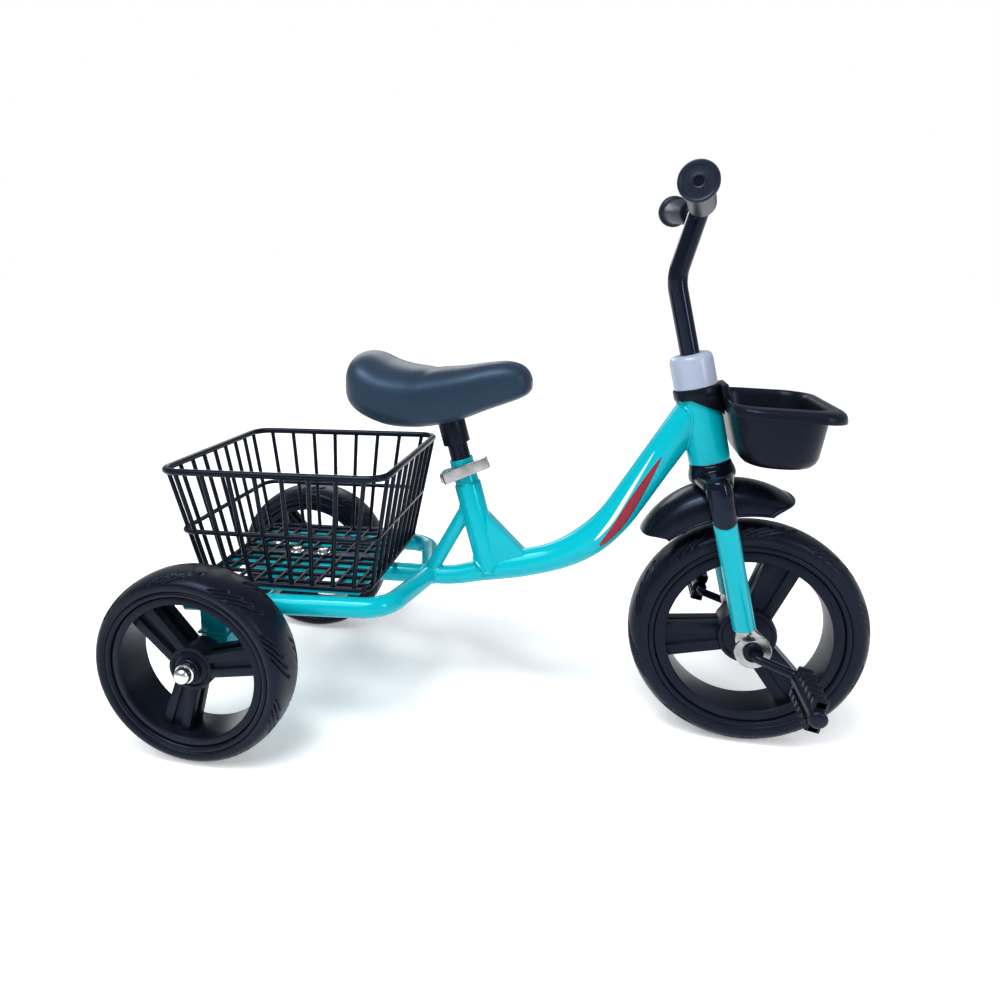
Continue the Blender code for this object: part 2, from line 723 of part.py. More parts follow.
def rear_wheel(side_name, rubber, plastic, chrome):
    side = SIDES[side_name]
    hub = pivot(f"rear_wheel_{side_name}_pivot", (REAR_X, side * REAR_TRACK / 2, REAR_RADIUS))
    sizes = (
        REAR_LIP_RADIUS, REAR_RIM_INNER, REAR_TYRE_WIDTH, REAR_HUB_RADIUS,
        REAR_HUB_HALF, REAR_BOSS_RADIUS, REAR_SPOKE_WIDTH, REAR_SPOKE_TURN,
    )
    tyre(
        f"rear_tyre_{side_name}", REAR_RADIUS, REAR_TYRE_WIDTH, REAR_LIP_RADIUS, REAR_CROWN_DROP, rubber, hub
    )
    spoked_rim(f"rear_rim_{side_name}", sizes, REAR_AXLE_RADIUS + RUNNING_CLEARANCE, plastic, hub)
    mid = side * REAR_TRACK / 2
    axle_centre = (REAR_X, 0, REAR_RADIUS)
    seat = BRACKET_OUTER + 0.001 + GAP
    inner = sorted((side * seat, mid - side * (REAR_HUB_HALF + GAP)))
    ring(
        f"rear_spacer_{side_name}", 0.0095, REAR_AXLE_RADIUS + GAP, *inner, chrome,
        axis="Y", centre=axle_centre, steps=16,
    )
    start = REAR_TRACK / 2 + REAR_HUB_HALF + GAP
    dome = [
        (REAR_AXLE_RADIUS + GAP, 0), (0.0105, 0), (0.0105, 0.0045), (0.0085, 0.0060),
        (0.0080, 0.0095), (0.0055, 0.0125), (0, 0.0135), (0, 0.0095), (REAR_AXLE_RADIUS + GAP, 0.0085),
    ]
    outline = [(radius, side * (start + out)) for radius, out in dome]
    turned(f"axle_nut_{side_name}", outline, chrome, axis="Y", centre=axle_centre, steps=16)


def rear_axle(steel):
    half = REAR_TRACK / 2 + REAR_HUB_HALF + 0.0080
    centre = (REAR_X, 0, REAR_RADIUS)
    rod("rear_axle", REAR_AXLE_RADIUS, -half, half, steel, axis="Y", centre=centre, steps=16)


# ---------------------------------------------------------------- cranks and pedals

def crank_axle(black, parent):
    """One bent rod: pedal spindle, arm, wheel axle, arm and pedal spindle."""
    reach = Vector((math.cos(CRANK_TURN), 0, math.sin(CRANK_TURN))) * CRANK_THROW
    across = Vector((0, 1, 0))
    corners = [
        reach - across * (PEDAL_OUT + 0.003),
        reach - across * CRANK_BEND_OUT,
        -across * CRANK_BEND_IN,
        across * CRANK_BEND_IN,
        -reach + across * CRANK_BEND_OUT,
        -reach + across * (PEDAL_OUT + 0.003),
    ]
    path = rounded(corners, (0.008, 0.008, 0.008, 0.008), steps=4)
    return tube("crank_axle", path, CRANK_RADIUS, black, parent, sides=12)


def pedal(side_name, black, parent):
    """A block pedal: a barrel on the spindle, two end plates and two ribbed tread bars."""
    side = SIDES[side_name]
    spindle = Vector((math.cos(CRANK_TURN), 0, math.sin(CRANK_TURN))) * CRANK_THROW * -side
    mount = pivot(f"pedal_{side_name}_pivot", spindle, parent=parent)
    name = f"pedal_{side_name}"
    low, high = sorted((side * PEDAL_IN, side * PEDAL_OUT))
    body = rod(name, CRANK_RADIUS + 0.0045, low, high, black, mount, axis="Y", steps=16)
    reach = PEDAL_REACH + PEDAL_BAR_DEPTH / 2
    plates = [
        block(f"{name}_plate_{i}", (-reach, start, -0.0065), (reach, start + 0.0055, 0.0065), black)
        for i, start in enumerate((low, high - 0.0055))
    ]
    bars = [
        block(
            f"{name}_bar_{i}",
            (centre - PEDAL_BAR_DEPTH / 2, low, -PEDAL_BAR_WIDTH / 2),
            (centre + PEDAL_BAR_DEPTH / 2, high, PEDAL_BAR_WIDTH / 2),
            black,
        )
        for i, centre in enumerate((-PEDAL_REACH, PEDAL_REACH))
    ]
    joined(body, *plates, *bars)
    grooves = []
    pitch = (high - low) / 5
    for i in range(1, 5):
        for face in (-1, 1):
            y = low + pitch * i
            bottom, top = PEDAL_BAR_WIDTH / 2 - 0.003, PEDAL_BAR_WIDTH / 2 + 0.001
            z_low, z_high = sorted((face * bottom, face * top))
            grooves.append(
                block(f"{name}_groove", (-0.04, y - 0.002, z_low), (0.04, y + 0.002, z_high), black)
            )
    spindle_bore = CRANK_RADIUS + RUNNING_CLEARANCE
    bore = rod(f"{name}_bore", spindle_bore, low - 0.01, high + 0.01, black, axis="Y", steps=12)
    cut(body, bore, *grooves)
    moved(body, Matrix.Rotation(-PEDAL_TILT, 4, "Y"))
    start = PEDAL_OUT + GAP
    outline = [
        (CRANK_RADIUS + GAP, side * start), (PEDAL_CAP_RADIUS, side * start),
        (PEDAL_CAP_RADIUS, side * (start + 0.0045)), (0.006, side * (start + 0.0065)),
        (0, side * (start + 0.0065)), (0, side * (start + 0.0040)),
        (CRANK_RADIUS + GAP, side * (start + 0.0040)),
    ]
    turned(f"pedal_cap_{side_name}", outline, black, mount, axis="Y", steps=16)


def front_wheel(rubber, plastic, black, chrome, parent):
    axle = pivot("front_wheel_pivot", (FORK_RAKE, 0, 0), -STEER_LEAN, parent)
    sizes = (
        FRONT_LIP_RADIUS, FRONT_RIM_INNER, FRONT_TYRE_WIDTH, FRONT_HUB_RADIUS,
        FRONT_HUB_HALF, FRONT_BOSS_RADIUS, FRONT_SPOKE_WIDTH, FRONT_SPOKE_TURN,
    )
    tyre("front_tyre", FRONT_RADIUS, FRONT_TYRE_WIDTH, FRONT_LIP_RADIUS, FRONT_CROWN_DROP, rubber, axle)
    spoked_rim("front_rim", sizes, CRANK_RADIUS + GAP, plastic, axle)
    crank_axle(black, axle)
    for side_name, side in SIDES.items():
        pedal(side_name, black, axle)
        span = sorted((side * (FRONT_HUB_HALF + GAP), side * (LEG_Y - EYE_THICKNESS / 2 - GAP)))
        ring(
            f"front_spacer_{side_name}", 0.0085, CRANK_RADIUS + GAP, *span, chrome, axle, axis="Y", steps=16
        )


# ---------------------------------------------------------------- fork

def fork_leg(side_name, paint, parent):
    y = SIDES[side_name] * LEG_Y
    rod(f"fork_leg_{side_name}", LEG_RADIUS, LEG_LOW, LEG_HIGH, paint, parent, centre=(0, y, 0))


def dropout(side_name, chrome, black, parent):
    """A tube end pressed flat to an eye, with a nylon bush that carries the crank axle."""
    side = SIDES[side_name]
    y = side * LEG_Y
    half = EYE_THICKNESS / 2
    eye = rod(
        f"dropout_{side_name}", EYE_RADIUS, y - half, y + half, chrome, parent, axis="Y",
        centre=(FORK_RAKE, 0, 0), steps=28,
    )
    stations = ((LEG_LOW - GAP, LEG_RADIUS - 0.0012, LEG_RADIUS - 0.0012, 0), (0.0100, 0.0150, half, 1))
    rings = [
        [
            (FORK_RAKE * shift + wide * math.cos(turn), y + deep * math.sin(turn), height)
            for turn in (2 * math.pi * i / 20 for i in range(20))
        ]
        for height, wide, deep, shift in stations
    ]
    neck = loft("neck", rings, chrome)
    joined(eye, neck)
    hole = rod("eye_hole", BUSH_RADIUS + GAP, -0.1, 0.1, chrome, axis="Y", centre=(FORK_RAKE, 0, 0), steps=20)
    cut(eye, hole)
    bore = CRANK_RADIUS + RUNNING_CLEARANCE
    face = LEG_Y + half + GAP
    flange = face + 0.0030
    outline = [
        (bore, side * (LEG_Y - half)), (BUSH_RADIUS, side * (LEG_Y - half)), (BUSH_RADIUS, side * face),
        (BUSH_FLANGE, side * face), (BUSH_FLANGE, side * flange), (bore, side * flange),
    ]
    turned(f"axle_bush_{side_name}", outline, black, parent, axis="Y", centre=(FORK_RAKE, 0, 0), steps=20)


def fork_crown(black, parent):
    """The moulded crown: a flared cup under the head tube with a sleeve over each leg."""
    top = HEAD_LOW - 2 * GAP - 0.0010
    outline = [
        (0, CROWN_LOW), (CROWN_RADIUS, CROWN_LOW), (CROWN_RADIUS, CROWN_LOW + 0.006),
        (HEAD_RADIUS + 0.0004, top - 0.003), (HEAD_RADIUS, top), (0, top),
    ]
    crown = turned("fork_crown", outline, black, parent, steps=32)
    sleeve_top = CROWN_LOW + 0.0110
    pieces = []
    for side in SIDES.values():
        sleeve = [
            (0, SHROUD_LOW), (SHROUD_RADIUS, SHROUD_LOW), (SHROUD_RADIUS, sleeve_top - 0.008),
            (SHROUD_RADIUS * 0.72, sleeve_top - 0.001), (0, sleeve_top + 0.001),
        ]
        pieces.append(turned("sleeve", sleeve, black, centre=(0, side * LEG_Y, 0), steps=24))
        inner, outer = sorted((0, side * (LEG_Y - 0.004)))
        pieces.append(
            block(
                "shoulder", (-0.0115, inner, CROWN_LOW + 0.0004), (0.0115, outer, sleeve_top - 0.0023), black
            )
        )
    joined(crown, *pieces)
    bores = [
        rod(
            "leg_bore", LEG_RADIUS + GAP, SHROUD_LOW - 0.01, LEG_HIGH + GAP, black,
            centre=(0, side * LEG_Y, 0),
        )
        for side in SIDES.values()
    ]
    steerer_hole = rod(
        "steerer_hole", STEERER_RADIUS + GAP, CROWN_LOW + 0.003, top + 0.01, black, steps=28
    )
    bolt_hole = rod("bolt_hole", BOLT_SHANK_RADIUS + GAP, CROWN_LOW - 0.01, top, black, steps=12)
    return cut(crown, *bores, steerer_hole, bolt_hole)


def steerer(steel, parent):
    foot = CROWN_LOW + 0.003 + GAP
    ring("steerer_tube", STEERER_RADIUS, STEERER_BORE, foot, STEERER_HIGH, steel, parent, steps=28)
    inner = STEERER_RADIUS + RUNNING_CLEARANCE
    outer = HEAD_BORE - GAP
    low_start = HEAD_LOW - 0.0010
    ring("lower_head_bearing", outer, inner, low_start, low_start + BEARING_HEIGHT, steel, steps=28)
    high_end = HEAD_HIGH
    ring("upper_head_bearing", outer, inner, high_end - BEARING_HEIGHT, high_end, steel, steps=28)
    for name in ("lower_head_bearing", "upper_head_bearing"):
        moved(bpy.data.objects[name], STEER_FRAME)
    nut = rod("steering_lock_nut", NUT_RADIUS, CAP_LOW, CAP_LOW + NUT_HEIGHT, steel, parent, steps=6)
    cut(nut, rod("nut_bore", STEERER_RADIUS + GAP, HEAD_HIGH, STEERER_HIGH, steel))


def steering_cap(lilac, parent):
    """A cup over the lock nut, which turns with the handlebar."""
    top = CAP_LOW + CAP_HEIGHT
    hole = STEM_RADIUS + GAP
    outline = [
        (CAP_RADIUS - CAP_WALL, CAP_LOW), (CAP_RADIUS, CAP_LOW), (CAP_RADIUS, top - 0.006),
        (CAP_RADIUS - 0.002, top - 0.0018), (CAP_RADIUS - 0.006, top), (hole, top),
        (hole, top - 0.0040), (CAP_RADIUS - CAP_WALL - 0.0020, top - 0.0040),
        (CAP_RADIUS - CAP_WALL, top - 0.0070),
    ]
    turned("steering_cap", outline, lilac, parent, steps=32)


# ---------------------------------------------------------------- fender

def fender_crown_radius(turn):
    return FENDER_CROWN_RADIUS - FENDER_CROWN_FALL * (turn - FENDER_CROWN_TURN) ** 2


def fender(black, steel, parent):
    """A short deep fender: its section is an arch, and both ends are cut on the slant."""
    axle = pivot("fender_pivot", (FORK_RAKE, 0, 0), -STEER_LEAN, parent)
    spans = 14
    section = [(-1.0, 0.0), (-0.97, 0.42), (-0.74, 0.80), (-0.38, 0.96), (0, 1.0)]
    section += [(-across, up) for across, up in reversed(section[:-1])]
    data = bmesh.new()
    rows = []
    for i in range(spans + 1):
        row = []
        for across, up in section:
            tail = FENDER_LIP_TAIL_TURN + (FENDER_TAIL_TURN - FENDER_LIP_TAIL_TURN) * up
            nose = FENDER_LIP_NOSE_TURN + (FENDER_NOSE_TURN - FENDER_LIP_NOSE_TURN) * up
            turn = nose + (tail - nose) * i / spans
            radius = FENDER_LIP_RADIUS + (fender_crown_radius(turn) - FENDER_LIP_RADIUS) * up
            angle = math.radians(turn)
            row.append(
                data.verts.new(
                    (radius * math.cos(angle), across * FENDER_HALF_WIDTH, radius * math.sin(angle))
                )
            )
        rows.append(row)
    for near, far in zip(rows, rows[1:]):
        for j in range(len(section) - 1):
            data.faces.new((near[j], near[j + 1], far[j + 1], far[j]))
    sheet = to_object("fender", data, black, axle)
    if sheet.data.polygons[spans * 4].normal.z < 0:
        sheet.data.flip_normals()
    wall = sheet.modifiers.new("wall", "SOLIDIFY")
    wall.thickness = FENDER_THICKNESS
    wall.offset = -1
    baked(sheet)
    centre = Vector((-FORK_RAKE * math.cos(STEER_LEAN), 0, -FORK_RAKE * math.sin(STEER_LEAN)))
    hole = rod("fender_hole", BOLT_SHANK_RADIUS + GAP, 0.10, 0.20, black, steps=12)
    cut(sheet, moved(hole, leaned(centre, STEER_LEAN)))
    under = fender_crown_radius(90 + math.degrees(STEER_LEAN)) - FENDER_THICKNESS - 0.0022
    shank = rod("fender_bolt", BOLT_SHANK_RADIUS, under - 0.001, CROWN_LOW + 0.0020, steel, parent, steps=12)
    joined(shank, rod("head", 0.0060, under - 0.0045, under, steel, steps=12))


# ---------------------------------------------------------------- handlebar

def bar_end(side):
    """The outer end of the bar, in the steering frame."""
    return Vector((BAR_FORWARD - BAR_BACK, side * GRIP_END, BAR_HEIGHT + BAR_RISE))


def bar_knee(side):
    return Vector((BAR_FORWARD - 0.0015, side * GRIP_START * 0.75, BAR_HEIGHT))


def handlebar(black, parent):
    """A stem tube bent forward, with the swept crossbar welded across its top."""
    foot = STEERER_HIGH - STEM_INSERT
    slant = Vector((BAR_FORWARD, 0, BAR_HEIGHT))
    corners = [(0, 0, foot), (0, 0, STEM_BEND), slant]
    stem = tube("handlebar", rounded(corners, (0.050,), steps=6), STEM_RADIUS, black, parent)
    end = (bar_end(1) - bar_knee(1)).normalized() * (BAR_HALF / GRIP_END)
    reach = (bar_end(1) - bar_knee(1)).length
    outer = bar_knee(1) + end * reach
    mirror = Vector((outer.x, -outer.y, outer.z))
    corners = [mirror, bar_knee(-1), bar_knee(1), outer]
    bar = tube("crossbar", rounded(corners, (0.060, 0.060), steps=4), STEM_RADIUS - 0.0003, black)
    return joined(stem, bar)


def grip(side_name, rubber, parent):
    """A soft grip with a big dished flange and a small hole in its end."""
    side = SIDES[side_name]
    knee, end = bar_knee(side), bar_end(side)
    along = (end - knee).normalized()
    length = (end - knee).length
    start = length * (GRIP_START - knee.y * side) / (GRIP_END - knee.y * side)
    bore = STEM_RADIUS
    stop = length * BAR_HALF / GRIP_END + GAP
    outline = [
        (bore, start), (GRIP_RADIUS - 0.001, start), (GRIP_RADIUS, start + 0.002),
        (GRIP_RADIUS, length - FLANGE_WIDTH - 0.004), (FLANGE_RADIUS - 0.001, length - FLANGE_WIDTH),
        (FLANGE_RADIUS, length - FLANGE_WIDTH + 0.0015), (FLANGE_RADIUS, length - 0.001),
        (FLANGE_RADIUS - 0.002, length), (FLANGE_RADIUS - 0.004, length - 0.0012),
        (0.0050, length - 0.0008), (0.0045, stop), (bore, stop),
    ]
    piece = turned(f"grip_{side_name}", outline, rubber, parent, steps=20)
    return moved(piece, Matrix.Translation(knee) @ along.to_track_quat("Z", "X").to_matrix().to_4x4())


# ---------------------------------------------------------------- saddle

def saddle(leather, plastic, black):
    post_frame = pivot("seat_post_pivot", SEAT_ORIGIN, SEAT_LEAN)
    rod("seat_post", POST_RADIUS, POST_LOW, POST_HIGH, black, post_frame)
    top = SEAT_FRAME @ Vector((0, 0, POST_HIGH))
    pan_low = Vector((top.x, 0, top.z))
    level = pivot("saddle_pivot", pan_low)
    outline = []
    for i in range(20):
        turn = 2 * math.pi * i / 20
        x = math.cos(turn)
        half = 0.030 - 0.014 * x
        outline.append((x * 0.048 - 0.040, math.sin(turn) * half))
    pan = prism("seat_pan", outline, PAN_TOP - PAN_THICKNESS, PAN_TOP, plastic, level, along="Z")
    socket = rod("socket", POST_RADIUS + 0.004, POST_HIGH - 0.020, POST_HIGH + 0.020, plastic)
    moved(socket, Matrix.Translation(-pan_low) @ SEAT_FRAME)
    joined(pan, socket)
    trim = rod("trim", POST_RADIUS + GAP, POST_HIGH - 0.040, POST_HIGH + GAP, plastic)
    trim_top = block("trim_top", (-0.08, -0.05, PAN_TOP), (0.06, 0.05, PAN_TOP + 0.02), plastic)
    cut(pan, moved(trim, Matrix.Translation(-pan_low) @ SEAT_FRAME), trim_top)
    seat_shell(leather, level)


def seat_shell(leather, parent):
    """The saddle: a high thick tail, a dipped middle and a narrow rounded nose."""
    rings = []
    for along, half, top, under in SADDLE:
        middle = (top + under) / 2
        points = []
        for k in range(SADDLE_STEPS):
            turn = 2 * math.pi * k / SADDLE_STEPS
            bulge = math.copysign(abs(math.sin(turn)) ** 0.75, math.sin(turn))
            points.append((along, half * math.cos(turn), middle + (top - under) / 2 * bulge))
        rings.append(points)
    return loft("seat", rings, leather, parent)


# ---------------------------------------------------------------- rear rack

def rear_deck(paint, parent):
    """A pressed plate on the stays, with four windows and two bolt holes."""
    deck = block(
        "rear_deck", (DECK_REAR, -DECK_HALF, DECK_LOW), (DECK_FRONT, DECK_HALF, DECK_TOP), paint, parent
    )
    windows = []
    for start in (DECK_WINDOW_FRONT, DECK_WINDOW_REAR):
        stop = start + DECK_WINDOW_LENGTH
        for side in SIDES.values():
            inner, outer = sorted(side * edge for edge in DECK_WINDOW_SIDES)
            low, high = (start, inner, DECK_LOW - 0.01), (stop, outer, DECK_TOP + 0.01)
            windows.append(block("window", low, high, paint))
    holes = [
        rod(
            "hole", BOLT_SHANK_RADIUS + GAP, DECK_LOW - 0.01, DECK_TOP + 0.01, paint,
            steps=12, centre=(x, 0, 0),
        )
        for x in BASKET_BOLTS
    ]
    return cut(deck, *windows, *holes)


def lattice(name, corner, inward, bars_wide, bars_tall, material, parent):
    """A flat grille of crossed bars, each a (position, width); it thickens along inward."""
    data = bmesh.new()
    edges_wide = sorted(centre + side * width / 2 for centre, width in bars_wide for side in (-1, 1))
    edges_tall = sorted(centre + side * width / 2 for centre, width in bars_tall for side in (-1, 1))
    grid = [[data.verts.new(corner(a, b)) for b in edges_tall] for a in edges_wide]
    for i in range(len(edges_wide) - 1):
        for j in range(len(edges_tall) - 1):
            if i % 2 and j % 2:
                continue
            data.faces.new((grid[i][j], grid[i + 1][j], grid[i + 1][j + 1], grid[i][j + 1]))
    sheet = to_object(name, data, material, parent)
    if sheet.data.polygons[0].normal.dot(Vector(inward)) < 0:
        sheet.data.flip_normals()
    wall = sheet.modifiers.new("wall", "SOLIDIFY")
    wall.thickness = WIRE
    wall.offset = 1
    return baked(sheet)


def basket_walls(wire, parent):
    """Floor and four leaning walls; each wall is a grille that stops just short of the next."""
    base = DECK_TOP + GAP
    top = base + BASKET_HEIGHT
    inset = WIRE + 2 * GAP

    def at(share, low, high):
        return low + (high - low) * share

    long_bars = [((i + 0.5) / LONG_WIRES, WIRE) for i in range(LONG_WIRES)]
    floor_half = BASKET_FLOOR_HALF - inset
    floor_rear, floor_front = BASKET_FLOOR_REAR + inset, BASKET_FLOOR_FRONT - inset
    length = floor_front - floor_rear
    cross = [(floor_rear + length * (i + 0.5) / CROSS_WIRES, WIRE) for i in range(CROSS_WIRES)]
    cross += [(floor_rear + WIRE / 2, WIRE), (floor_front - WIRE / 2, WIRE)]
    lengthwise = [(floor_half * (2 * share - 1) * 0.94, width) for share, width in long_bars]
    lengthwise[LONG_WIRES // 2] = (0, MOUNT_STRIP)
    lengthwise += [(-floor_half + WIRE / 2, WIRE), (floor_half - WIRE / 2, WIRE)]
    floor = lattice(
        "rear_basket_floor", lambda a, b: (a, b, base), (0, 0, 1), cross, lengthwise, wire, parent
    )
    holes = [
        rod("hole", BOLT_SHANK_RADIUS + GAP, base - 0.01, base + 0.01, wire, steps=12, centre=(x, 0, 0))
        for x in BASKET_BOLTS
    ]
    cut(floor, *holes)
    rails = [(RIM_WIRE / BASKET_HEIGHT / 2, RIM_WIRE / BASKET_HEIGHT), (BASKET_MID, WIRE / BASKET_HEIGHT)]
    rails += [(1 - RIM_WIRE / BASKET_HEIGHT / 2, RIM_WIRE / BASKET_HEIGHT)]
    for side_name, side in SIDES.items():
        def side_corner(a, b, side=side):
            rear = at(b, BASKET_FLOOR_REAR, BASKET_RIM_REAR) + inset
            front = at(b, BASKET_FLOOR_FRONT, BASKET_RIM_FRONT) - inset
            return (at(a, rear, front), side * at(b, BASKET_FLOOR_HALF, BASKET_RIM_HALF), at(b, base, top))

        span = BASKET_RIM_FRONT - BASKET_RIM_REAR
        uprights = [(at((i + 0.5) / CROSS_WIRES, 0.0, 1.0), WIRE / span) for i in range(CROSS_WIRES)]
        uprights += [(WIRE / span / 2, WIRE / span), (1 - WIRE / span / 2, WIRE / span)]
        lattice(f"rear_basket_{side_name}", side_corner, (0, -side, 0), uprights, rails, wire, parent)
    for name, floor_x, rim_x, sign in (
        ("rear_basket_front", BASKET_FLOOR_FRONT, BASKET_RIM_FRONT, 1),
        ("rear_basket_back", BASKET_FLOOR_REAR, BASKET_RIM_REAR, -1),
    ):
        def end_corner(a, b, floor_x=floor_x, rim_x=rim_x):
            half = at(b, BASKET_FLOOR_HALF, BASKET_RIM_HALF)
            return (at(b, floor_x, rim_x), at(a, -half, half), at(b, base, top))

        span = 2 * BASKET_RIM_HALF
        uprights = [(at((i + 0.5) / LONG_WIRES, 0.02, 0.98), WIRE / span) for i in range(LONG_WIRES)]
        uprights += [(WIRE / span / 2, WIRE / span), (1 - WIRE / span / 2, WIRE / span)]
        lattice(name, end_corner, (-sign, 0, 0), uprights, rails, wire, parent)


def basket_bolts(chrome, parent):
    """Two bolts that hold the basket's floor to the deck and the beam."""
    under = DECK_TOP + GAP + WIRE + GAP
    for i, x in enumerate(BASKET_BOLTS):
        centre = (x, 0, 0)
        bolt = rod(
            f"basket_bolt_{i + 1}", BOLT_SHANK_RADIUS, 0.0, under + 0.001, chrome, parent,
            steps=12, centre=centre,
        )
        washer = rod("washer", BOLT_RADIUS + 0.002, under, under + 0.0012, chrome, centre=centre, steps=16)
        head = rod("head", BOLT_RADIUS, under + 0.001, under + 0.0055, chrome, centre=centre, steps=6)
        joined(bolt, washer, head)


# ---------------------------------------------------------------- front tub

def tub_rear(height):
    """The X of the tub's back at a height: it follows the leaning head tube."""
    axis_x = STEER_ORIGIN.x - (height - STEER_ORIGIN.z) * math.tan(STEER_LEAN)
    return axis_x + (HEAD_RADIUS + TUB_CLEARANCE) / math.cos(STEER_LEAN)


def rounded_box(rear, front, half, corner, height, steps=5):
    """A rounded rectangle in plan, as a ring of points."""
    points = []
    for turn, x, y in (
        (0, front - corner, half - corner), (90, rear + corner, half - corner),
        (180, rear + corner, -half + corner), (270, front - corner, -half + corner),
    ):
        for i in range(steps + 1):
            angle = math.radians(turn + 90 * i / steps)
            points.append((x + corner * math.cos(angle), y + corner * math.sin(angle), height))
    return points


def tub_ring(height, inset, corner):
    share = (height - TUB_LOW) / (TUB_TOP - TUB_LOW)
    half = TUB_HALF_LOW + (TUB_HALF_TOP - TUB_HALF_LOW) * share
    front = tub_rear(TUB_TOP) + TUB_FRONT + 0.012 - 0.012 * (1 - share)
    return rounded_box(tub_rear(height) + inset, front - inset, half - inset, corner - inset, height)


def front_basket(black):
    """A moulded tub with a drooping lip, and a ring that the lock nut holds on the head tube."""
    front = tub_rear(TUB_TOP) + TUB_FRONT + 0.012
    brim = (tub_rear(TUB_TOP - TUB_LIP_DROP) - 0.0025, front + TUB_LIP_FRONT, TUB_HALF_TOP + TUB_LIP, 0.030)
    body = loft(
        "front_basket",
        [
            tub_ring(TUB_LOW, 0.012, 0.030), tub_ring(TUB_LOW + 0.003, 0.005, 0.030),
            tub_ring(TUB_LOW + 0.012, 0.0, 0.028), tub_ring(TUB_TOP - 0.0040, 0.0, 0.026),
            rounded_box(*brim, TUB_TOP - TUB_LIP_DROP), rounded_box(*brim, TUB_TOP - TUB_LIP_DROP + 0.0020),
            tub_ring(TUB_TOP, -0.0010, 0.026),
        ],
        black,
    )
    ear = rod("collar", COLLAR_RADIUS, 0.2400, COLLAR_HIGH, black, steps=32)
    slope = prism(
        "slope",
        [
            (-0.040, 0.20), (0.060, 0.20), (0.060, 0.2190), (COLLAR_RADIUS, 0.2420),
            (-0.0090, COLLAR_LOW), (-0.040, COLLAR_LOW),
        ],
        -0.05, 0.05, black,
    )
    cut(ear, slope)
    web = block("web", (0.012, -0.0190, 0.2440), (0.0300, 0.0190, COLLAR_HIGH - 0.001), black)
    joined(ear, web)
    bore = rod("bore", HEAD_RADIUS + GAP, 0.20, COLLAR_LOW, black, steps=32)
    steerer_bore = rod("steerer_bore", STEERER_RADIUS + 2 * GAP, 0.25, COLLAR_HIGH + 0.01, black, steps=32)
    cut(ear, bore, steerer_bore)
    joined(body, moved(ear, STEER_FRAME))
    hollow = loft(
        "hollow",
        [
            tub_ring(TUB_LOW + TUB_WALL, 0.014, 0.030), tub_ring(TUB_LOW + TUB_WALL + 0.003, 0.0075, 0.030),
            tub_ring(TUB_LOW + 0.013, TUB_WALL, 0.028), tub_ring(TUB_TOP, TUB_WALL, 0.026),
            [(x, y, TUB_TOP + 0.02) for x, y, _ in tub_ring(TUB_TOP, TUB_WALL, 0.026)],
        ],
        black,
    )
    return cut(body, hollow)


# ---------------------------------------------------------------- assembly

def build():
    clear_scene()
    teal = finish("teal_paint", (0.0, 0.55, 0.68), 0.22)
    gloss = finish("black_gloss_paint", (0.012, 0.013, 0.018), 0.20)
    satin = finish("black_moulded_plastic", (0.016, 0.017, 0.024), 0.38)
    rubber = finish("tyre_foam", (0.022, 0.024, 0.032), 0.62)
    grip_rubber = finish("grip_rubber", (0.030, 0.033, 0.045), 0.55)
    lilac = finish("lilac_plastic", (0.50, 0.50, 0.66), 0.35)
    chrome = finish("chrome", (0.75, 0.75, 0.76), 0.18, 1.0)
    steel = finish("zinc_steel", (0.55, 0.55, 0.56), 0.35, 1.0)
    leather = finish("seat_skin", (0.030, 0.042, 0.062), 0.42)
    wire = finish("basket_coating", (0.013, 0.014, 0.020), 0.33)

    steering = pivot("steering_pivot", STEER_ORIGIN, STEER_LEAN)
    seat_clamp = pivot("seat_clamp_pivot", SEAT_ORIGIN, SEAT_LEAN)
    rack = pivot("rack_pivot", RACK_ORIGIN, REAR_PITCH)

    frame(teal)
    clamp(chrome, seat_clamp)
    hinge = pivot("lever_pivot", lever_hinge(), parent=seat_clamp)
    quick_release_lever(chrome, hinge)
    rear_axle(steel)
    for side_name in SIDES:
        rear_wheel(side_name, rubber, satin, chrome)
        fork_leg(side_name, teal, steering)
        dropout(side_name, chrome, satin, steering)
        grip(side_name, grip_rubber, steering)
    front_wheel(rubber, satin, gloss, chrome, steering)
    fork_crown(satin, steering)
    steerer(steel, steering)
    steering_cap(lilac, steering)
    fender(satin, steel, steering)
    handlebar(gloss, steering)
    saddle(leather, satin, gloss)
    rear_deck(teal, rack)
    basket_walls(wire, rack)
    basket_bolts(chrome, rack)
    front_basket(satin)


build()
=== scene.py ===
import math

import bpy
from mathutils import Matrix, Vector


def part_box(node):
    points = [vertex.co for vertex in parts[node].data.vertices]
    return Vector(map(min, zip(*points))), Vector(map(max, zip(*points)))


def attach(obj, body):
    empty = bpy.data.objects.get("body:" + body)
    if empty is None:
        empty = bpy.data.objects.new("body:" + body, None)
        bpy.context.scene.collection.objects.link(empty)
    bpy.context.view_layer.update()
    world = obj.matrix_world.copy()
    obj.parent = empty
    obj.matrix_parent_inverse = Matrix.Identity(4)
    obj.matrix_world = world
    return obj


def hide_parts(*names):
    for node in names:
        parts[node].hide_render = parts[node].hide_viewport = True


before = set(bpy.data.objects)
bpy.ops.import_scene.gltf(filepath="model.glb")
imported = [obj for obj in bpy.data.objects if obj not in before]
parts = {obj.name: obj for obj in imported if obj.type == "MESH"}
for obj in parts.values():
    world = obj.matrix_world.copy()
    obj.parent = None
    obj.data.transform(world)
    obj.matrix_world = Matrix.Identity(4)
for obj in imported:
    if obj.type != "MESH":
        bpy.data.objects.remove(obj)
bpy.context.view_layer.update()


# ---- Studio: a wide pale sheet of paper under a soft sky, a broad key lamp from the upper left,
# a softbox over the tricycle and one at its right. The camera stands at the right side, level
# with the handlebar, and looks slightly down.

